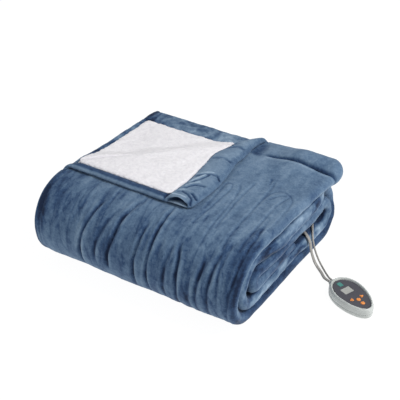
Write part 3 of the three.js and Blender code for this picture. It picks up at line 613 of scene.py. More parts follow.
def folded(a, b, m):
    """Turned corner: x, s and n of points a and b from the side and head edges, m off the middle."""
    beyond = (FOLD_LEG - a - b) / ROOT2
    turn = np.clip(beyond / ROLL_RADIUS, 0, math.pi)
    on_roll = (beyond > 0) & (beyond < ROLL_ARC)
    past = beyond >= ROLL_ARC
    reach = np.where(on_roll, (ROLL_RADIUS - m) * np.sin(turn), beyond)
    reach = np.where(past, ROLL_ARC - beyond, reach)
    n = np.where(on_roll, PLY_MIDDLE + ROLL_RADIUS - (ROLL_RADIUS - m) * np.cos(turn), PLY_MIDDLE + m)
    n = np.where(past, PLY_MIDDLE + 2 * ROLL_RADIUS - m, n)
    shift = (beyond - reach) / ROOT2
    return with_slack(LEFT_EDGE + a + shift, b + shift), b + shift, n


def rounded(a, b, size=FLAP_CORNER, from_a=0.0, from_b=0.0):
    """Rounds the sharp corner of a cloth whose edges are at from_a and from_b."""
    u = np.clip(1 - (a - from_a) / size, 0, 1)
    v = np.clip(1 - (b - from_b) / size, 0, 1)
    in_a = from_a + size * (1 - u * np.sqrt(1 - v * v / 2))
    in_b = from_b + size * (1 - v * np.sqrt(1 - u * u / 2))
    near = (u > 0) & (v > 0)
    return np.where(near, in_a, a), np.where(near, in_b, b)


# Lower ply beside the fold
EXPOSED_LEG = FOLD_LEG - 22.0
EXPOSED_SIDE_HEM = 15.5
PAD_INSET = 2.5
PILE_HIGH = 9.0
PILE_WIDE = 38.0


def draw_in(s):
    """How far the lower ply's left edge lies inward near the head hem."""
    return 7.0 * (1 - smooth(s / 170))


def loft(b):
    """Height of the lower ply's lining, fuller away from the head hem."""
    return 5.5 + 6.0 * step(b, 160, 80)


def on_lower_ply(a, b, n):
    """Points a and b from the lower ply's side and head edges, n off its middle."""
    share = np.clip(a / np.maximum(EXPOSED_LEG - b, 1), 0, 1)
    return place(LEFT_EDGE + a - fold_shift(b) * share + draw_in(b) * (1 - share), b, n)


# Wrinkles of the front bend, each with painted shade in its trough and a painted highlight beside it: line
# of (s, x) points, depth and half width.
TROUGHS = [
    ([(296, -98), (326, -105), (353, -115), (380, -119)], 0.9, 2.9),
    ([(298, -150), (350, -160), (420, -162)], 0.8, 5),
    ([(310, -76), (343, -85), (365, -92), (390, -98), (452, -99)], 4.2, 3),
    ([(268, -62), (312, -65), (333, -66), (351, -70)], 0.9, 2.2),
    ([(325, -44), (352, -55), (369, -60), (388, -67), (425, -71)], 3.2, 4),
    ([(290, -18), (308, -21), (333, -29), (366, -32), (387, -39), (430, -44)], 4.4, 3.3),
    ([(268, -15), (305, -14), (323, -20), (343, -27)], 1, 2.2),
    ([(318, 20), (341, 18), (360, 16), (380, 13), (401, 12), (462, 5)], 4.2, 3),
    ([(275, 39), (317, 41), (352, 42), (371, 39), (392, 38), (460, 36)], 3.8, 2.7),
    ([(330, 60), (360, 57), (390, 56)], 1, 2.9),
    ([(335, 80), (353, 77), (368, 73), (388, 73), (413, 70), (455, 70)], 2.6, 3.2),
    ([(330, 88), (346, 92), (362, 96), (406, 96), (466, 91)], 4, 3.2),
    ([(372, 120), (420, 118), (460, 116)], 1.6, 3.6),
    ([(335, 142), (349, 141), (367, 139), (388, 134), (407, 132), (465, 131)], 3.4, 3.6),
    ([(318, 168), (332, 163), (349, 159), (369, 158), (392, 155), (462, 152)], 3.2, 3.3),
    ([(300, 170), (330, 170), (358, 169), (378, 173), (430, 172)], 1.8, 2.9),
    ([(245, 190), (296, 197), (322, 199), (342, 199), (363, 198), (424, 189), (478, 186)], 2.4, 2.5),
]

CREASE_DEPTH = 0.7

# Soft bands of painted shade and painted light on the front bend: line of (s, x) points, tone and half
# width.
PAINTED_LIGHT_BANDS = [
    ([(225, 183), (290, 192), (321, 194), (364, 193), (430, 188)], -0.45, 9),
    ([(262, 203), (300, 207), (339, 207), (376, 204), (440, 198)], -0.6, 5),
    ([(270, 198), (310, 201), (350, 201), (400, 194)], 0.3, 2.0),
    ([(230, 222), (277, 216), (337, 217), (400, 217), (450, 214)], 0.35, 4),
    ([(255, 148), (296, 159), (330, 167), (400, 168)], -0.35, 7),
    ([(383, -90), (406, -93), (440, -91)], 0.6, 3.5),
    ([(368, 26), (385, 21), (409, 18), (446, 14)], 0.7, 4),
    ([(340, -33), (370, -41), (395, -50)], -0.35, 6),
    ([(300, -150), (360, -150), (420, -140)], -0.25, 16),
    ([(330, 120), (380, 118), (440, 116)], -0.3, 12),
    ([(310, 0), (360, -6), (420, -10)], -0.15, 12),
    ([(290, -178), (340, -182), (400, -181)], -0.8, 7),
    ([(262, -142), (276, -172), (300, -184)], -0.9, 6),
    ([(372, -188), (420, -186), (450, -182)], 0.7, 3),
    ([(60, 132), (72, 160), (80, 190)], 0.3, 9),
    ([(20, 96), (24, 150), (26, 200)], 0.35, 10),
]

# Stitched heating channels of the top ply: line of (x, s) points.
CHANNELS = [
    [(202, 295), (201, 201), (198, 174), (193, 156), (177, 144), (162, 143), (152, 161), (149, 184),
     (152, 245), (158, 325)],
    [(187, 319), (180, 241), (179, 183), (186, 156)],
    [(160, 176), (168, 158), (178, 154)],
    [(81, 256), (75, 191), (73, 174), (79, 166), (88, 175), (89, 194), (87, 300)],
    [(100, 172), (108, 203), (113, 260), (120, 307), (121, 330)],
    [(96, 165), (103, 176), (107, 196)],
    [(115, 143), (114, 177), (115, 206), (119, 245), (125, 295)],
    [(142, 125), (147, 145), (149, 184)],
    [(133, 118), (137, 132)],
]


# Slack of the top ply near its head hem
ARCH_X, ARCH_ACROSS = 148.0, 62.0
ARCH_S, ARCH_ALONG = 56.0, 52.0
ARCH_HIGH = 6.5
HEM_FROM = 62.0


def hem_rise(d, width, rise, groove, power=0.7):
    """Swell of a hem at a distance from its edge, with the groove of its stitch line."""
    hump = rise * np.sin(np.pi * np.clip(d / width, 0, 1)) ** power
    return hump - groove * bell(d - width, 2.0)


def edge_fullness(d):
    """How full the ply is at a distance from a hemmed edge."""
    u = np.clip(1 - d / 7.0, 0, 1)
    return 0.12 + 0.88 * np.sqrt(1 - u * u)


def along_line(line, s):
    """Middle of a line of (s, x) points at s, and how far s is within its two ends."""
    line_s, line_x = zip(*line)
    within = step(s, line_s[0], 24) * step(s, line_s[-1], -34)
    return eased(s, line_s, line_x, (-8, -4, 0, 4, 8)), within


def thin_folds(x, s, size, seed):
    """Thin, long lines along the path, from 0 to 1."""
    return np.clip(1 - 9 * np.abs(rough(x, s * 0.2, size, seed, 2)), 0, 1) ** 1.5


def front_creases(x, s):
    """Height of the front bend's creases, with painted shade in them, painted highlights beside them and
    soft bands of painted shade and light.
    """
    bent = step(s, 215, 70)
    slanted = x + 0.35 * s
    folds = thin_folds(x, s, 21, 33) * (0.35 + 0.65 * bent) + 0.7 * thin_folds(slanted, s, 12, 35) * bent
    height = -0.6 * folds
    # Painted shade in the thin folds, with a random tone over the bend.
    painted_crease_light = -0.5 * folds + 0.3 * bent * rough(x, s * 0.2, 8, 37)
    waver = 1.2 * rough(x * 0.2, s, 26, 31, 2)
    foot = step(s, 468, -40)
    for line, depth, width in TROUGHS:
        middle, within = along_line(line, s)
        across = (x - middle - waver) / width
        deep = CREASE_DEPTH * depth * within * (1 + 0.6 * rough(x * 0.1, s, 34, 38, 2))
        height += foot * deep * (0.4 * bell(np.abs(across) - 2, 1) - bell(across, 1))
        # Painted shade in each trough, with a painted highlight on its +x side.
        trough_shade_highlight = 0.5 * bell(across - 1.9, 0.9) - 1.1 * bell(across, 0.85) + 0.15 * bell(across + 2, 1)
        painted_crease_light += min(1.1, depth / 3.6) * within * (0.85 + 0.7 * rough(x * 0.2, s, 19, 39, 2)) * trough_shade_highlight
    # Soft bands of painted shade and painted light.
    for line, painted_tone, width in PAINTED_LIGHT_BANDS:
        middle, within = along_line(line, s)
        painted_crease_light += painted_tone * within * step(s, line[0][0], 60) * bell(x - middle - waver, width)
    return height, painted_crease_light


def channel_creases(x, s):
    """Height at the stitched channels, with painted shade in their grooves and a faint painted highlight
    beside them.
    """
    away = np.full(np.shape(x), 1e9)
    for line in CHANNELS:
        away = np.minimum(away, line_distance(x, s, softened(line)))
    near = s < 345
    faint = 0.9 + 0.3 * rough(x, s, 24, 49)
    height = (0.5 * bell(away - 5, 3.5) - 1.1 * faint * bell(away, 1.8)) * near
    # Painted shade in each groove, a faint painted highlight beside it.
    return height, (0.12 * bell(away - 4, 2.2) - 0.5 * faint * bell(away, 1.9)) * near


def hem_height(x, s):
    """The head hem, its stitch line and the slack behind it."""
    beside = step(x, HEM_FROM, 30)
    full = edge_fullness(np.minimum(s, PATH_LENGTH - s))
    arch = ARCH_HIGH * swell(x - ARCH_X, ARCH_ACROSS) * swell(s - ARCH_S, ARCH_ALONG)
    rise = 5 + 10 * step(x, 95, 60)
    valley = 3.0 * bell(x - 64, 14) * smooth(s / 20) * step(s, 70, -20)
    return (hem_rise(s, HEAD_HEM, rise, 4.4) * beside + arch - valley) * full


def face_height(x, s, channels):
    """Height of the outer face off its even surface, in the unrolled x and s."""
    shown = step(s, FRONT_BEND_END + 10, -60)
    back = step(s, BACK_BEND[0], 30) * step(s, BACK_BEND[1], -30)
    height = 0.9 * rough(x, s, 62, 11) + 0.45 * rough(x, s * 0.55, 19, 23)
    height = height * (0.35 + 0.65 * np.maximum(shown, back))
    return height + channels - 1.8 * bell(x - LEFT_EDGE - SIDE_HEM, 2.2)


def face_nap_and_painted_light(x, s):
    """Tone of the broad faces, their hems and their left edge: the nap's uneven tone, with painted light
    and painted shade.
    """
    value = 0.24 * rough(x, s * 0.5, 44, 41) + 0.22 * rough(x, s * 0.28, 13, 43)
    value += 0.12 * rough(x, s, 9, 47)
    # Painted light on the top, painted shade down the front bend and deeper at its foot.
    value += 0.1 * step(s, 260, -80) - 0.24 * step(s, 280, 80) - 0.35 * step(s, 436, 30)
    on_hem = step(x, 78, 14)
    # Painted shade in the head hem's stitch line, with a painted highlight just beyond it.
    value += on_hem * (0.45 * bell(s - 57, 3.2) - 1.6 * bell(s - HEAD_HEM, 2.4))
    # Painted shade in the valley beside the turned cuff.
    value -= 1.2 * bell(x - HEM_FROM, 13) * step(s, 8, 12) * step(s, 62, -10)
    from_left = x - LEFT_EDGE
    below_corner = step(s, 255, 20)
    # Painted shade along the left edge below the corner, with painted highlights on its rim and near the
    # foot.
    value -= 0.75 * step(from_left, 15, -5) * below_corner
    value += 0.5 * bell(from_left - 2, 2.5) * below_corner * step(s, 480, -60)
    return value + 1.1 * bell(from_left - 9, 2.2) * step(s, 385, 25) * step(s, 490, -20)


def nap_with_painted_light(x, s, past_turn):
    """Tone from -1 deep to 1 pale: the nap's uneven tone, with painted shade and painted highlights, most
    of all on the creased end's layers.

    past_turn is how far round the creased end a point is, from where the end's turn starts.
    """
    value = face_nap_and_painted_light(x, s)
    # Painted highlights and painted shade on the creased end's layers, after the table, with a random
    # tone.
    painted_tone = np.interp(s, END_PAINTED_LIGHT_S, END_PAINTED_LIGHT) + 0.3 * rough(x, s, 30, 51)
    share = step(past_turn, -5, 16)
    value = value * (1 - 0.5 * share) + painted_tone * share
    outer_end = step(s, 500, -40)
    # Painted highlight along the rim of the creased end's outer turn, with painted shade just inside it.
    value += outer_end * (0.7 * bell(past_turn - 21, 4) - 0.3 * bell(past_turn - 9, 7))
    between = step(s, 885, 20) * share
    second = step(s, 1300, -30)
    fourth = step(s, 1300, 20) * step(s, 1620, -20)
    # Painted shade deep inside the stack between the layers, and under the layer above on the second run.
    value -= between * 1.3 * smooth((past_turn - 36 + 8 * second + 9 * fourth) / 7)
    return value - between * 0.5 * second * step(past_turn, 7, -7)


# Columns round the blanket's ring, the mean x where its outer face ends, where along the path
# the shown face ends and the inside starts, the nap's lie where nothing shows, and the least height.
OUTER_COLUMNS = 186
TURN_COLUMNS = 15
LOWER_COLUMNS = 16
INNER_COLUMNS = 5
NOMINAL_TURN = 205.0
SHOWN_END = 520
INSIDE_START = 880
HIDDEN_LIE = -0.4
FLOOR_GAP = 0.02


def path_rows():
    """Places along the path: close together where the face shows, and apart inside the stack."""
    near_hem = [0, 0.5, 1.2, 2.2, 3.6, 5.4, 7.5]
    shown = [np.arange(10, 42, 2.6), np.arange(43, 60, 1.3), np.arange(61, SHOWN_END, 2.6)]
    hidden = []
    s = SHOWN_END + 1.0
    while s < PATH_LENGTH - 10:
        y, z = on_path(np.array([s, s + 6, s + 12]))
        bent = abs((y[1] - y[0]) * (z[2] - z[1]) - (y[2] - y[1]) * (z[1] - z[0]))
        hidden.append(s)
        s += 5.0 if bent > 1.5 else 8.0
    return np.concatenate([near_hem, *shown, hidden, PATH_LENGTH - np.array(near_hem[::-1])])


def on_bottom_run(s):
    """One on the run that lies on the floor, easing to nothing on both sides of it."""
    return step(s, 440, 40) * step(s, 800, -40)


def creased_end(rows):
    """How far +X the creased end reaches, a little wavy."""
    wave = 2.0 * along_noise(rows, 75, 5) + 1.0 * along_noise(rows, 24, 9)
    calm = smooth(rows / 60) * (1 - 0.35 * step(rows, 890, 30)) * (1 - 0.8 * on_bottom_run(rows))
    return np.interp(rows, CREASED_S, CREASED_X) + wave * calm


def cover_columns(s, outer, turn, corner):
    """Outer face from the left edge or turned corner to the creased end: x, n, and the nap with its
    painted light and shade.
    """
    flat_x = np.linspace(LEFT_EDGE + RIM_RADIUS, NOMINAL_TURN, OUTER_COLUMNS)[None, :]
    scaled = HEM_FROM + (flat_x - HEM_FROM) * (turn - HEM_FROM) / (NOMINAL_TURN - HEM_FROM)
    x = np.maximum(np.where(flat_x > HEM_FROM, scaled, flat_x), corner)
    creases, painted_crease_light = front_creases(x, s)
    channels, channel_painted_light = channel_creases(x, s)
    height = face_height(x, s, creases + channels) + hem_height(x, s)
    left_in = step(x, LEFT_EDGE + 3, 8)
    n = np.where(corner > LEFT_EDGE, outer + height, outer - 1.2 * (1 - left_in) + height * left_in)
    return x, n, nap_with_painted_light(x, s, x - turn) + painted_crease_light + channel_painted_light


def turn_columns(s, outer, turn):
    """Creased end, round from the outer face's top to its bottom: x, n, and the nap with its painted light
    and shade.
    """
    angles = np.linspace(math.pi / 2, -math.pi / 2, TURN_COLUMNS + 2)[1:-1][None, :]
    around = turn + outer * (math.pi / 2 - angles)
    creases, painted_crease_light = front_creases(around, s)
    inside = step(s, INSIDE_START, 30)
    crumple = 0.5 * rough(around * 0.7, s, 17, 61) * (step(s, 250, 60) - 0.7 * on_bottom_run(s))
    folds = 0.5 * rough(around * 0.6, s, 15, 63) + 0.4 * rough(around, s, 5, 65)
    height = face_height(around, s, creases) + crumple + inside * folds
    radius = outer + height + hem_height(turn, s) * (1 + np.sin(angles)) / 2
    undercut = 5.0 * step(s, 470, -60) * step(s, 30, 40) * np.clip(0.3 - np.sin(angles), 0, 1)
    streaks = 0.8 * rough(around * 1.1, s * 0.4, 11, 67) + 0.5 * rough(around, s * 0.6, 5, 69, 2)
    calmer = 1 - 0.65 * step(s, 1545, 30)
    nap_and_painted_light = nap_with_painted_light(around, s, around - turn) + painted_crease_light + inside * calmer * streaks
    return turn + radius * np.cos(angles) - undercut, radius * np.sin(angles), nap_and_painted_light


def lower_columns(s, outer, turn, lower_edge):
    """Lower ply's outer face, from the creased end back to the left edge: x, n, and the nap with its
    painted light and shade, held back from the palest tones.
    """
    fraction = np.linspace(0, 1, LOWER_COLUMNS)[None, :]
    x = turn + (lower_edge + RIM_RADIUS - turn) * fraction
    unrolled = turn + outer * math.pi + (turn - x)
    fade = 1 - 0.6 * smooth(fraction * 4)
    n = -(outer + fade * face_height(unrolled, s, 0))
    return x, n, np.minimum(nap_with_painted_light(unrolled, s, unrolled - turn), 0.2)


def blanket_mesh(material):
    """Both plies, as one ring of columns at each row of the path."""
    rows = path_rows()
    s = rows[:, None]
    half = PLY / 2 * edge_fullness(np.minimum(s, PATH_LENGTH - s))
    outer = PLY_MIDDLE + half
    inner = PLY_MIDDLE - half
    turn = creased_end(rows)[:, None] - outer
    corner = np.where(s < FOLD_LEG, LEFT_EDGE + FOLD_LEG - s - fold_shift(s), LEFT_EDGE)
    lower_edge = LOWER_LEFT_EDGE + draw_in(s)
    rim_in = RIM_RADIUS - RIM_RADIUS * np.cos(RIM_LEANS)
    rim_up = half * np.sin(RIM_LEANS)
    fraction = np.linspace(0, 1, INNER_COLUMNS)[None, :]
    lower_start = lower_edge + RIM_RADIUS
    upper_start = LEFT_EDGE + RIM_RADIUS
    columns = [
        cover_columns(s, outer, turn, corner),
        turn_columns(s, outer, turn),
        lower_columns(s, outer, turn, lower_edge),
        (lower_edge + rim_in, -PLY_MIDDLE + rim_up, HIDDEN_LIE),
        (lower_start + (turn - lower_start) * fraction, -inner, HIDDEN_LIE),
        (turn + inner + 1.5, 0, HIDDEN_LIE),
        (np.maximum(upper_start + (turn - upper_start) * (1 - fraction), corner), inner, HIDDEN_LIE),
        (np.maximum(LEFT_EDGE + rim_in, corner), PLY_MIDDLE + rim_up, HIDDEN_LIE),
    ]
    x, n, nap_and_painted_light = (np.concatenate([c[k] + 0 * c[0] for c in columns], axis=1) for k in range(3))
    uneven = 1.6 * along_noise(rows, 58, 13, 3) * step(rows, 300, 60)
    x = x + uneven[:, None] * step(x, -120, -60)
    rings = place(x, s, n)
    rings[..., 2] = np.maximum(rings[..., 2], FLOOR_GAP)
    return ring_mesh("blanket", rings, material, nap_and_painted_light, merge=MERGE)


def edge_grid(fine_a, fine_b, reach, gap):
    """Distances from two edges in rows that start as given, clipped where they add up to reach."""
    last_a, last_b = reach - fine_b[0], reach - fine_a[0]
    a_levels = np.concatenate([fine_a, np.arange(fine_a[-1] + gap, last_a, gap), [last_a]])
    b_levels = np.concatenate([fine_b, np.arange(fine_b[-1] + gap, last_b, gap), [last_b]])
    a, b = np.meshgrid(a_levels, b_levels, indexing="ij")
    a = np.minimum(a, last_a)
    return a, np.minimum(b, reach - a)


# Gathers of the cuff, painted dark in each: line of points from the side and head edges, depth and half
# width.
CUFF_GATHERS = [
    ([(83, 41), (93, 29), (99, 19), (101, 10), (95, 3)], 1.9, 1.7),
    ([(60, 37), (70, 33), (80, 27), (94, 22)], 1.8, 1.6),
    ([(37, 37), (47, 33), (56, 26), (60, 13)], 2.3, 2.0),
    ([(25, 39), (31, 28), (29, 15), (23, 4)], 2.5, 2.0),
    ([(26, 31), (23, 19), (16, 8), (4, 2)], 1.6, 1.5),
    ([(150, 40), (158, 24), (154, 8)], 0.8, 3),
    ([(196, 42), (206, 28), (204, 10)], 0.9, 3),
]
# Raised ridges between them, with painted highlights on them: line and half width.
CUFF_HIGHLIGHTS = [
    ([(61, 41), (75, 36), (90, 28)], 2.2),
    ([(47, 39), (57, 34), (66, 27)], 2.4),
    ([(28, 44), (32, 33), (31, 20)], 2.2),
    ([(88, 44), (97, 31), (104, 18)], 2.0),
    ([(14, 42), (14, 30), (12, 18)], 3.0),
]


def cuff_gathers(a, b):
    """Height at the cuff's gathers, with painted shade in them and painted highlights on the ridges
    between them.
    """
    height = noises(a, b, (0.7, 34, 71), (0.3, 12, 73))
    painted_crease_light = np.zeros(np.shape(a))
    for line, depth, width in CUFF_GATHERS:
        away = line_distance(a, b, line)
        height += depth * (0.5 * bell(away - 2 * width, width) - bell(away, width))
        # Painted shade in each gather.
        painted_crease_light -= 1.5 * min(1, depth / 1.5) * bell(away, width * 1.1)
    for line, width in CUFF_HIGHLIGHTS:
        away = line_distance(a, b, line)
        height += 1.3 * bell(away, width * 1.3)
        # Painted highlight on each ridge.
        painted_crease_light += 1.2 * bell(away, width)
    return height, painted_crease_light


def edge_waver(a, b, height, size, seed):
    """Unevenness of a cloth's edges, which fades inward."""
    return height * rough(a, b, size, seed, 2) * np.exp(-np.minimum(a, b) / 12)


def corner_nap_and_painted_light(a, b, painted_crease_light, mouth, flat, on_cuff):
    """Tone of the turned corner's face: the nap's uneven tone, with painted light and painted shade on the
    cuff, mouth and hems.
    """
    nap_and_painted_light = 0.2 * rough(a * 0.5, b, 16, 91, 4) + 0.14 * rough(a, b, 8, 93)
    # The cuff painted paler as its lit top, with the gathers' painted light and shade.
    nap_and_painted_light += on_cuff * (painted_crease_light * flat + 0.25 + 0.3 * step(a, 40, 20) * bell(b - 26, 16))
    # Painted highlight round the mouth's rim and painted shade inside the mouth.
    nap_and_painted_light += on_cuff * mouth * (0.4 * bell(a - 3.2, 1.5) - 1.9 * bell(a, 1.2))
    # Painted shade in the head hem's stitch line and along the cuff's edge.
    nap_and_painted_light -= 0.95 * bell(b - HEAD_HEM, 2.4) * flat + 0.4 * bell(b - 3, 4)
    # Painted highlight on the side hem's edge; the side hem's top is darker.
    return nap_and_painted_light + (1 - on_cuff) * (0.45 * bell(a - 1.2, 1.6) - 0.95 * step(a, 2.5, 3))


def turned_corner(material):
    """The corner's plush: its face under the lining, the wide cuff and the narrow side hem."""
    reach = FOLD_LEG + 6.0 * ROOT2
    near_edge = (0, 0.4, 0.9, 1.6, 2.5, 3.6, 5)
    a, b = edge_grid(near_edge, near_edge, reach, 1.9)
    beyond = (FOLD_LEG - a - b) / ROOT2
    mouth = np.sqrt(np.clip(1 - ((b - MOUTH_MIDDLE) / MOUTH_HALF) ** 2, 0, 1))
    side_full = np.maximum(edge_fullness(a), mouth * (0.72 + 0.28 * smooth(a / 2.5)))
    full = side_full * edge_fullness(b)
    widening = PLY / 2 - 0.5 - FLAP_PLY / 2
    half = (FLAP_PLY / 2 + widening * smooth(1 - beyond / (0.35 * ROLL_ARC))) * full
    flat = step(beyond, ROLL_ARC * 0.8, 10)
    on_cuff = step(b, HEAD_HEM + 1, -4)
    gathers, painted_crease_light = cuff_gathers(a, b)
    bumps = noises(a, b, (0.45, 30, 75), (0.3, 11, 77))
    side = hem_rise(a, FLAP_SIDE_HEM, 2.6, 1.8) * step(b, HEAD_HEM - 1, 5) + 5.0 * mouth * bell(a, 11)
    rise = hem_rise(b, HEAD_HEM, 6.2, 2.6, 0.55) * step(beyond, ROLL_ARC * 0.4, 14)
    rise = rise + side * flat + (gathers * on_cuff + bumps * (1 - on_cuff)) * flat
    in_a, in_b = rounded(a + MOUTH_DEPTH * mouth * bell(a, 1.1), b)
    waver = edge_waver(a, b, 1.1, 44, 81) * flat
    in_a, in_b = in_a + waver, in_b + waver
    top = place(*folded(in_a, in_b, -half - rise * full))
    droop = 0.3 * np.maximum(rise, 0) * full * step(beyond, ROLL_ARC, 6)
    lip = mouth * bell(a - 1.4, 1.0)
    raised = 1.5 * mouth * bell(a, 2.0) + 3.2 * lip
    bottom = place(*folded(in_a - 4.0 * lip, in_b, half - droop - raised))
    nap_and_painted_light = corner_nap_and_painted_light(a, b, painted_crease_light, mouth, flat, on_cuff)
    # Underside: painted shade all over, deeper inside the mouth, with painted highlights on its edge and
    # lip.
    underside_painted_light = 0.5 * bell(a - 1.6, 1.2) + 1.3 * lip - 1.3 * mouth * bell(a, 0.6) - 0.35
    return slab_mesh("turned_corner", top, bottom, material, (nap_and_painted_light, underside_painted_light))


def pad_nap_and_painted_light(a, b, fold_shade):
    """Tone of the lower ply's hems, the head hem's seam at b and the side hem's at a: the nap's uneven
    tone, darker on the side hem, with painted shade and painted highlights.
    """
    slanted = np.tanh(1.6 * rough((a + b) * 1.2, (a - b) * 0.6, 22, 111))
    on_side = step(a, EXPOSED_SIDE_HEM, -3)
    nap_and_painted_light = 0.65 * slanted + 0.45 * rough(a, b, 8, 109) + 0.2
    nap_and_painted_light -= 0.7 * on_side * step(a, 3, 3)
    nap_and_painted_light -= 1.1 * smooth((24 + 0.12 * b - a) / 3) * step(b, HEAD_HEM, -3)
    # Painted highlight along the head edge and painted shade in the head hem's seam.
    nap_and_painted_light += (0.35 * bell(b - 3, 3) - 0.8 * bell(b - HEAD_HEM + PAD_INSET, 2.2)) * (1 - on_side)
    # Painted highlight along the side edge, and painted shade on the head hem into the fold.
    return nap_and_painted_light + 0.3 * bell(a - 1, 2) - fold_shade * step(b, HEAD_HEM, -4)


def exposed_pad(material):
    """The lower ply's hems beside the turned corner and the raised cloth between them."""
    reach = EXPOSED_LEG - 2 * PAD_INSET
    near_edge = (0, 0.5, 1.2, 2.2, 3.4, 5)
    a, b = edge_grid(near_edge, near_edge, reach, 2.2)
    head_width, side_width = HEAD_HEM - PAD_INSET, EXPOSED_SIDE_HEM - PAD_INSET
    head = hem_rise(b, head_width, 3.2, 0)
    side = hem_rise(a, side_width, 2.2, 0)
    bumps = noises(a, b, (0.9, 30, 101), (0.4, 11, 103))
    seam = 1.2 * bell(b - head_width, 2) + 0.8 * bell(a - side_width, 2)
    height = loft(b) + np.maximum(head, side) + bumps * np.minimum(1, head + side) - seam
    height = height * edge_fullness(a) * edge_fullness(b)
    waver = PAD_INSET + edge_waver(a, b, 0.8, 36, 105)
    in_a, in_b = (edge + waver for edge in rounded(a, b, 9.0))
    low = -PLY_GAP / 2 + 0.25
    top = on_lower_ply(in_a, in_b, low + height)
    bottom = on_lower_ply(in_a, in_b, low - 3)
    nap_and_painted_light = pad_nap_and_painted_light(a, b, smooth(1 - (reach - a - b) / 22))
    # The underside painted 0.3 darker as shade.
    return slab_mesh("exposed_pad", top, bottom, material, (nap_and_painted_light, nap_and_painted_light - 0.3))


def sherpa_slab(name, material, start_a, start_b, reach, seed, on_cloth, low, extra=None, trim=0):
    """A curly triangle of lining with a ragged rim, on the surface that on_cloth gives.

    extra is added height, and trim draws the head side in beside the fold.
    """
    a, b = edge_grid((start_a, start_a + 1), (start_b, start_b + 1), reach, 1.75)
    from_edge = np.minimum(a - start_a, b - start_b)
    by_roll = smooth(1 - (reach - a - b) / 60)
    b = b + trim * by_roll * np.exp((start_b - b) / 12)
    a, b = rounded(a, b, 9.0, start_a, start_b)
    ragged = 1.5 * np.exp(-from_edge / 4)
    out_a = a + ragged * rough(a, b, 6, seed + 11, 2)
    out_b = b + ragged * rough(a, b, 6, seed + 13, 2)
    rim = np.sqrt(np.clip(from_edge / 5, 0, 1))
    curls = noises(a, b, (1.3, 52, seed, 2), (0.35, 14, seed + 3, 2), (0.3, 3.9, seed + 5, 2))
    thick = 0.4 + (2.8 + curls) * rim
    if extra is not None:
        thick = thick + extra(a, b)
    top = on_cloth(out_a, out_b, low + np.maximum(thick, 0.4))
    bottom = on_cloth(a, b, low + 0 * a)
    return slab_mesh(name, top, bottom, material)


def on_flap(a, b, out):
    """Points of the turned corner's lining, out of the middle of its ply."""
    return place(*folded(a, b, -out))


def flap_sherpa(material):
    """Lining of the turned corner, over the roll."""
    start_a, start_b = FLAP_SIDE_HEM - 1, HEAD_HEM - 1
    reach = FOLD_LEG - 0.3 * ROLL_ARC * ROOT2
    low = FLAP_PLY / 2 + 0.2
    return sherpa_slab("flap_sherpa", material, start_a, start_b, reach, 131, on_flap, low, trim=12)


def exposed_sherpa(material):
    """Lining of the lower ply where the turned corner lays it open, piled up beside the roll."""
    reach = EXPOSED_LEG + 4
    low = -PLY_GAP / 2 + 0.4

    def on_loft(a, b, out):
        return on_lower_ply(a, b, loft(b) + out)

    def piled(a, b):
        return PILE_HIGH * smooth(1 - (reach - a - b) / (ROOT2 * PILE_WIDE)) ** 1.3

    start_a, start_b = EXPOSED_SIDE_HEM + 1.5, HEAD_HEM + 0.5
    return sherpa_slab("exposed_sherpa", material, start_a, start_b, reach, 151, on_loft, low, piled)


# Controller

CONTROLLER_X = 322.0
CONTROLLER_Y = 3.7
CONTROLLER_TURN = math.radians(-28.2)
CONTROLLER_LENGTH = 97.0
CONTROLLER_WIDTH = 58.0
CONTROLLER_EGG = 0.17
EGG_SIDES = 96
FACE_TOP = 18.0
LEAD_HEIGHT = 8.5
NECK = -3.1
BUTTONS = [
    ("button_down", 11.5, -9.6, "arrow", -math.pi / 2),
    ("button_up", 11.5, 10.4, "arrow", math.pi / 2),
    ("button_mode", 16.2, 0.6, "round", 0.0),
    ("button_power", 27.0, 1.2, "round", 0.0),
]
ROUND_REACH = 3.7
ARROW_REACH = 5.0
ARROW_CORNER = 1.2


def on_controller(points):
    return turned_to(np.asarray(points, float), CONTROLLER_X, CONTROLLER_Y, CONTROLLER_TURN)


def egg_ring(inset, z):
    """Egg-shaped outline of the controller at a height, drawn in by an inset."""
    turn = 2 * np.pi * np.arange(EGG_SIDES) / EGG_SIDES
    u = (CONTROLLER_LENGTH / 2 - inset) * np.cos(turn)
    v = (CONTROLLER_WIDTH / 2 - inset) * np.sin(turn) * (1 - CONTROLLER_EGG * np.cos(turn))
    return np.stack([u, v, z + 0 * u], axis=-1)


def housing(material, bevel):
    """Egg-shaped shell with a parting groove round its side and a darker bevel round its face."""
    under = [(4.5, 0.0), (3.4, 0.1), (2.2, 0.6), (1.2, 1.6), (0.4, 3.0), (0.05, 5.0), (0.0, 7.4)]
    groove = [(0.1, 7.9), (0.7, 8.1), (0.7, 8.6), (0.1, 8.8), (0.0, 9.4)]
    side = [(-0.2, 11.5), (-0.1, 14.0), (0.3, 16.6), (1.0, 18.6), (1.9, 20.0), (2.8, 20.7)]
    mouth = [(3.5, 20.8), (4.1, 20.5), (4.5, 20.0), (5.8, 17.6), (6.0, 14.3)]
    profile = under + groove + side + mouth
    shell = ring_mesh("controller_shell", on_controller([egg_ring(*row) for row in profile]), material)
    shell.data.materials.append(bevel)
    last = (len(profile) - 2) * EGG_SIDES
    for face in shell.data.polygons[last:last + EGG_SIDES]:
        face.material_index = 1
    return shell


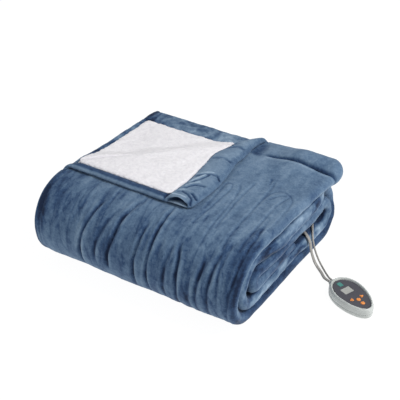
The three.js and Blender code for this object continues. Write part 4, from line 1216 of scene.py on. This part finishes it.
def button_outline(kind, heading, inset, count=48):
    """Outline of a button about its own middle, drawn in by an inset."""
    if kind == "round":
        return (ROUND_REACH - inset) * np.stack(boxy_turn(count, 1, 1), axis=-1)
    radius = ARROW_CORNER - 0.6 * inset
    reach = ARROW_REACH - 2 * ARROW_CORNER - 0.7 * inset
    out = heading + 2 * np.pi * np.arange(3)[:, None] / 3
    lean = out + np.linspace(-np.pi / 3, np.pi / 3, 8)
    x = reach * np.cos(out) + radius * np.cos(lean)
    y = reach * np.sin(out) + radius * np.sin(lean)
    return np.stack([x.ravel(), y.ravel()], axis=-1)


def button(name, u, v, kind, heading, material):
    """A softly domed cap, from below the face up."""
    profile = [(0, -2.55), (0, 0.4), (0.15, 0.7), (0.45, 0.95), (1, 1.15), (1.9, 1.25), (2.6, 1.27)]
    rings = []
    for inset, height in profile:
        x, y = button_outline(kind, heading, inset).T
        rings.append(np.column_stack([x + u, y + v, FACE_TOP + height + 0 * x]))
    return ring_mesh(f"{name}_cap", on_controller(rings), material)


def collar(material):
    """Short strain relief of both leads, narrower towards them, with ribs."""
    rows = [(-48.6, 15.0, 10.0), (-49.6, 14.6, 9.8), (-50.2, 13.4, 9.0), (-50.8, 13.9, 9.0)]
    rows += [(-51.4, 12.9, 8.0), (-52.0, 13.3, 8.0), (-52.6, 12.6, 7.0), (-53.6, 12.2, 6.4)]
    return ring_mesh("lead_relief", on_controller(boxy_rings(rows, 32, 0.8, NECK, LEAD_HEIGHT)), material)


# Plug and the coil's tie

PLUG_X = -32.0
PLUG_Y = 222.0
PLUG_TURN = 0.12
PLUG_MIDDLE = 7.0
TIE_LOW = 0.05


def plug(material):
    """Plug's body, its ribbed neck towards the lead."""
    rows = [(0, 7.4, 6.2), (1.5, 8.4, 7.2)]
    for k in range(4):
        start = 2.2 + 2 * k
        rows += [(start, 7.6 + 0.9 * k, 6.6 + 0.6 * k), (start + 1.2, 8.8 + 0.9 * k, 7.4 + 0.6 * k)]
    rows += [(10.5, 13, 10), (13, 18.5, 12.6), (15.5, 21.6, 13.9)]
    rows += [(24.6, 22, 14), (25.6, 21.4, 13.4), (26, 20.4, 12.4)]
    rings = boxy_rings(rows, 40, 0.45, 0.0, PLUG_MIDDLE)
    return ring_mesh("plug_shell", turned_to(rings, PLUG_X, PLUG_Y, PLUG_TURN), material)


def coil_tie(material):
    """A soft band round the coil, its last ring joined to its first."""
    outside = [(-2.2, 14.2, 10.8), (-2, 14.9, 11.5), (2, 14.9, 11.5), (2.2, 14.2, 10.8)]
    inside = [(2.2, 13, 9.7), (-2.2, 13, 9.7)]
    rings = boxy_rings(outside + inside, 40, 0.35, COIL_Y + COIL_MIDDLE, COIL_LAYERS[1])
    rings[..., 0] += COIL_X
    rings[..., 2] = np.maximum(rings[..., 2], TIE_LOW)
    rows, columns, _ = rings.shape
    faces = np.array(grid_faces(rows + 1, columns, closed=True)) % (rows * columns)
    return add_mesh("tie_band", rings.reshape(-1, 3), faces.tolist(), material)


# Making

add_camera()
LEAD = plastic_material("lead", (0.33, 0.32, 0.30), 0.5, 0.4)
TIE = plastic_material("tie", (0.03, 0.03, 0.035), 0.6, 0.5)
BLADE = metal_material("blade", (0.62, 0.50, 0.26), 0.28)
PLUSH = plush_material()
SHERPA = sherpa_material()
HOUSING = plastic_material("housing", (0.53, 0.56, 0.545), 0.42, 0.25)
BEVEL = plastic_material("bevel", (0.17, 0.175, 0.175), 0.5, 0.2)
PANEL = plastic_material("panel", (0.075, 0.074, 0.090), 0.38, 0.2)
DISPLAY = plastic_material("display", (0.42, 0.43, 0.41), 0.2, coat=0.6)
LAMP = plastic_material("lamp", (0.07, 0.27, 0.24), 0.3, coat=0.5)
BUTTON = plastic_material("button", (0.83, 0.30, 0.07), 0.3, coat=0.4)

tie = coil_tie(TIE)
plug_shell = plug(LEAD)
control, control_line, control_length = lead(
    "control_cord", CONTROL_ROUTE, CONTROL_DIAMETER, CONTROL_DIAMETER, LEAD)
mains_points = [*MAINS_ROUTE, *coil_points(), *TAIL_ROUTE]
mains, mains_line, mains_length = lead("mains_cord", mains_points, MAINS_WIDTH, MAINS_THICKNESS, LEAD)
print("control lead", round(control_length, 3), "m, mains lead", round(mains_length, 3), "m")

blanket = blanket_mesh(PLUSH)
corner = turned_corner(PLUSH)
pad = exposed_pad(PLUSH)
flap = flap_sherpa(SHERPA)
exposed = exposed_sherpa(SHERPA)
shell = housing(HOUSING, BEVEL)
relief = collar(HOUSING)

ridden = [
    (tie, "tie", "coil_tie"),
    (plug_shell, "lead", "plug_body"),
    (control, "lead", "control_lead"),
    (blanket, "plush", "plush_cloth"),
    (corner, "plush", "plush_cloth"),
    (pad, "plush", "plush_cloth"),
    (flap, "sherpa", "flap_lining"),
    (exposed, "sherpa", "exposed_lining"),
    (shell, "housing", "controller_housing"),
    (relief, "housing", "lead_collar"),
]
for piece, slot_name, replaced in ridden:
    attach(piece, "root")
    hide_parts(replaced)
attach(mains, "root")
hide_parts("mains_lead", "mains_coil", "mains_lead_tail")
for name, u, v, kind, heading in BUTTONS:
    cap = button(name, u, v, kind, heading, BUTTON)
    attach(cap, name)
    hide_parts(name)

carried_over = {
    "controller_face": PANEL,
    "controller_display": DISPLAY,
    "controller_lamp": LAMP,
    "plug_blade_1": BLADE,
    "plug_blade_2": BLADE,
}
for name, material in carried_over.items():
    for slot in bpy.data.objects[name].material_slots:
        slot.material = material


# Studio

FLOOR_HALF = 30.0
FLOOR_LOW = -0.0003
FLOOR_GLOW = 0.96
WORLD_GLOW = 0.36


def add_floor():
    """A pale floor that glows enough to come out white."""
    material, _, bsdf = new_material("floor")
    set_inputs(bsdf, {"Base Color": (0.10, 0.10, 0.10, 1), "Roughness": 0.9, "Specular IOR Level": 0.0})
    set_inputs(bsdf, {"Emission Color": (1, 1, 1, 1), "Emission Strength": FLOOR_GLOW})
    mesh = bpy.data.meshes.new("floor")
    corners = [(-1, -1), (1, -1), (1, 1), (-1, 1)]
    mesh.from_pydata([(x * FLOOR_HALF, y * FLOOR_HALF, FLOOR_LOW) for x, y in corners], [], [(0, 1, 2, 3)])
    mesh.materials.append(material)
    floor = add_object("floor", mesh)


def add_world():
    world = bpy.data.worlds.new("studio")
    world.use_nodes = True
    background = world.node_tree.nodes["Background"]
    set_inputs(background, {"Color": (1, 1, 1, 1), "Strength": WORLD_GLOW})
    bpy.context.scene.world = world


add_floor()
add_world()
add_area("key", 1.0, 33, (1.35, 0.25, 1.75), (0.0, 0.0, 0.05), (1.0, 0.99, 0.98))
add_area("side", 0.9, 4, (1.9, -0.2, 0.62), (0.2, 0.0, 0.07), (1.0, 1.0, 1.0))
add_area("fill", 2.0, 11, (-1.2, -1.6, 1.5), (0.0, 0.0, 0.05), (0.97, 0.98, 1.0))
bpy.context.scene.view_settings.view_transform = "Standard"
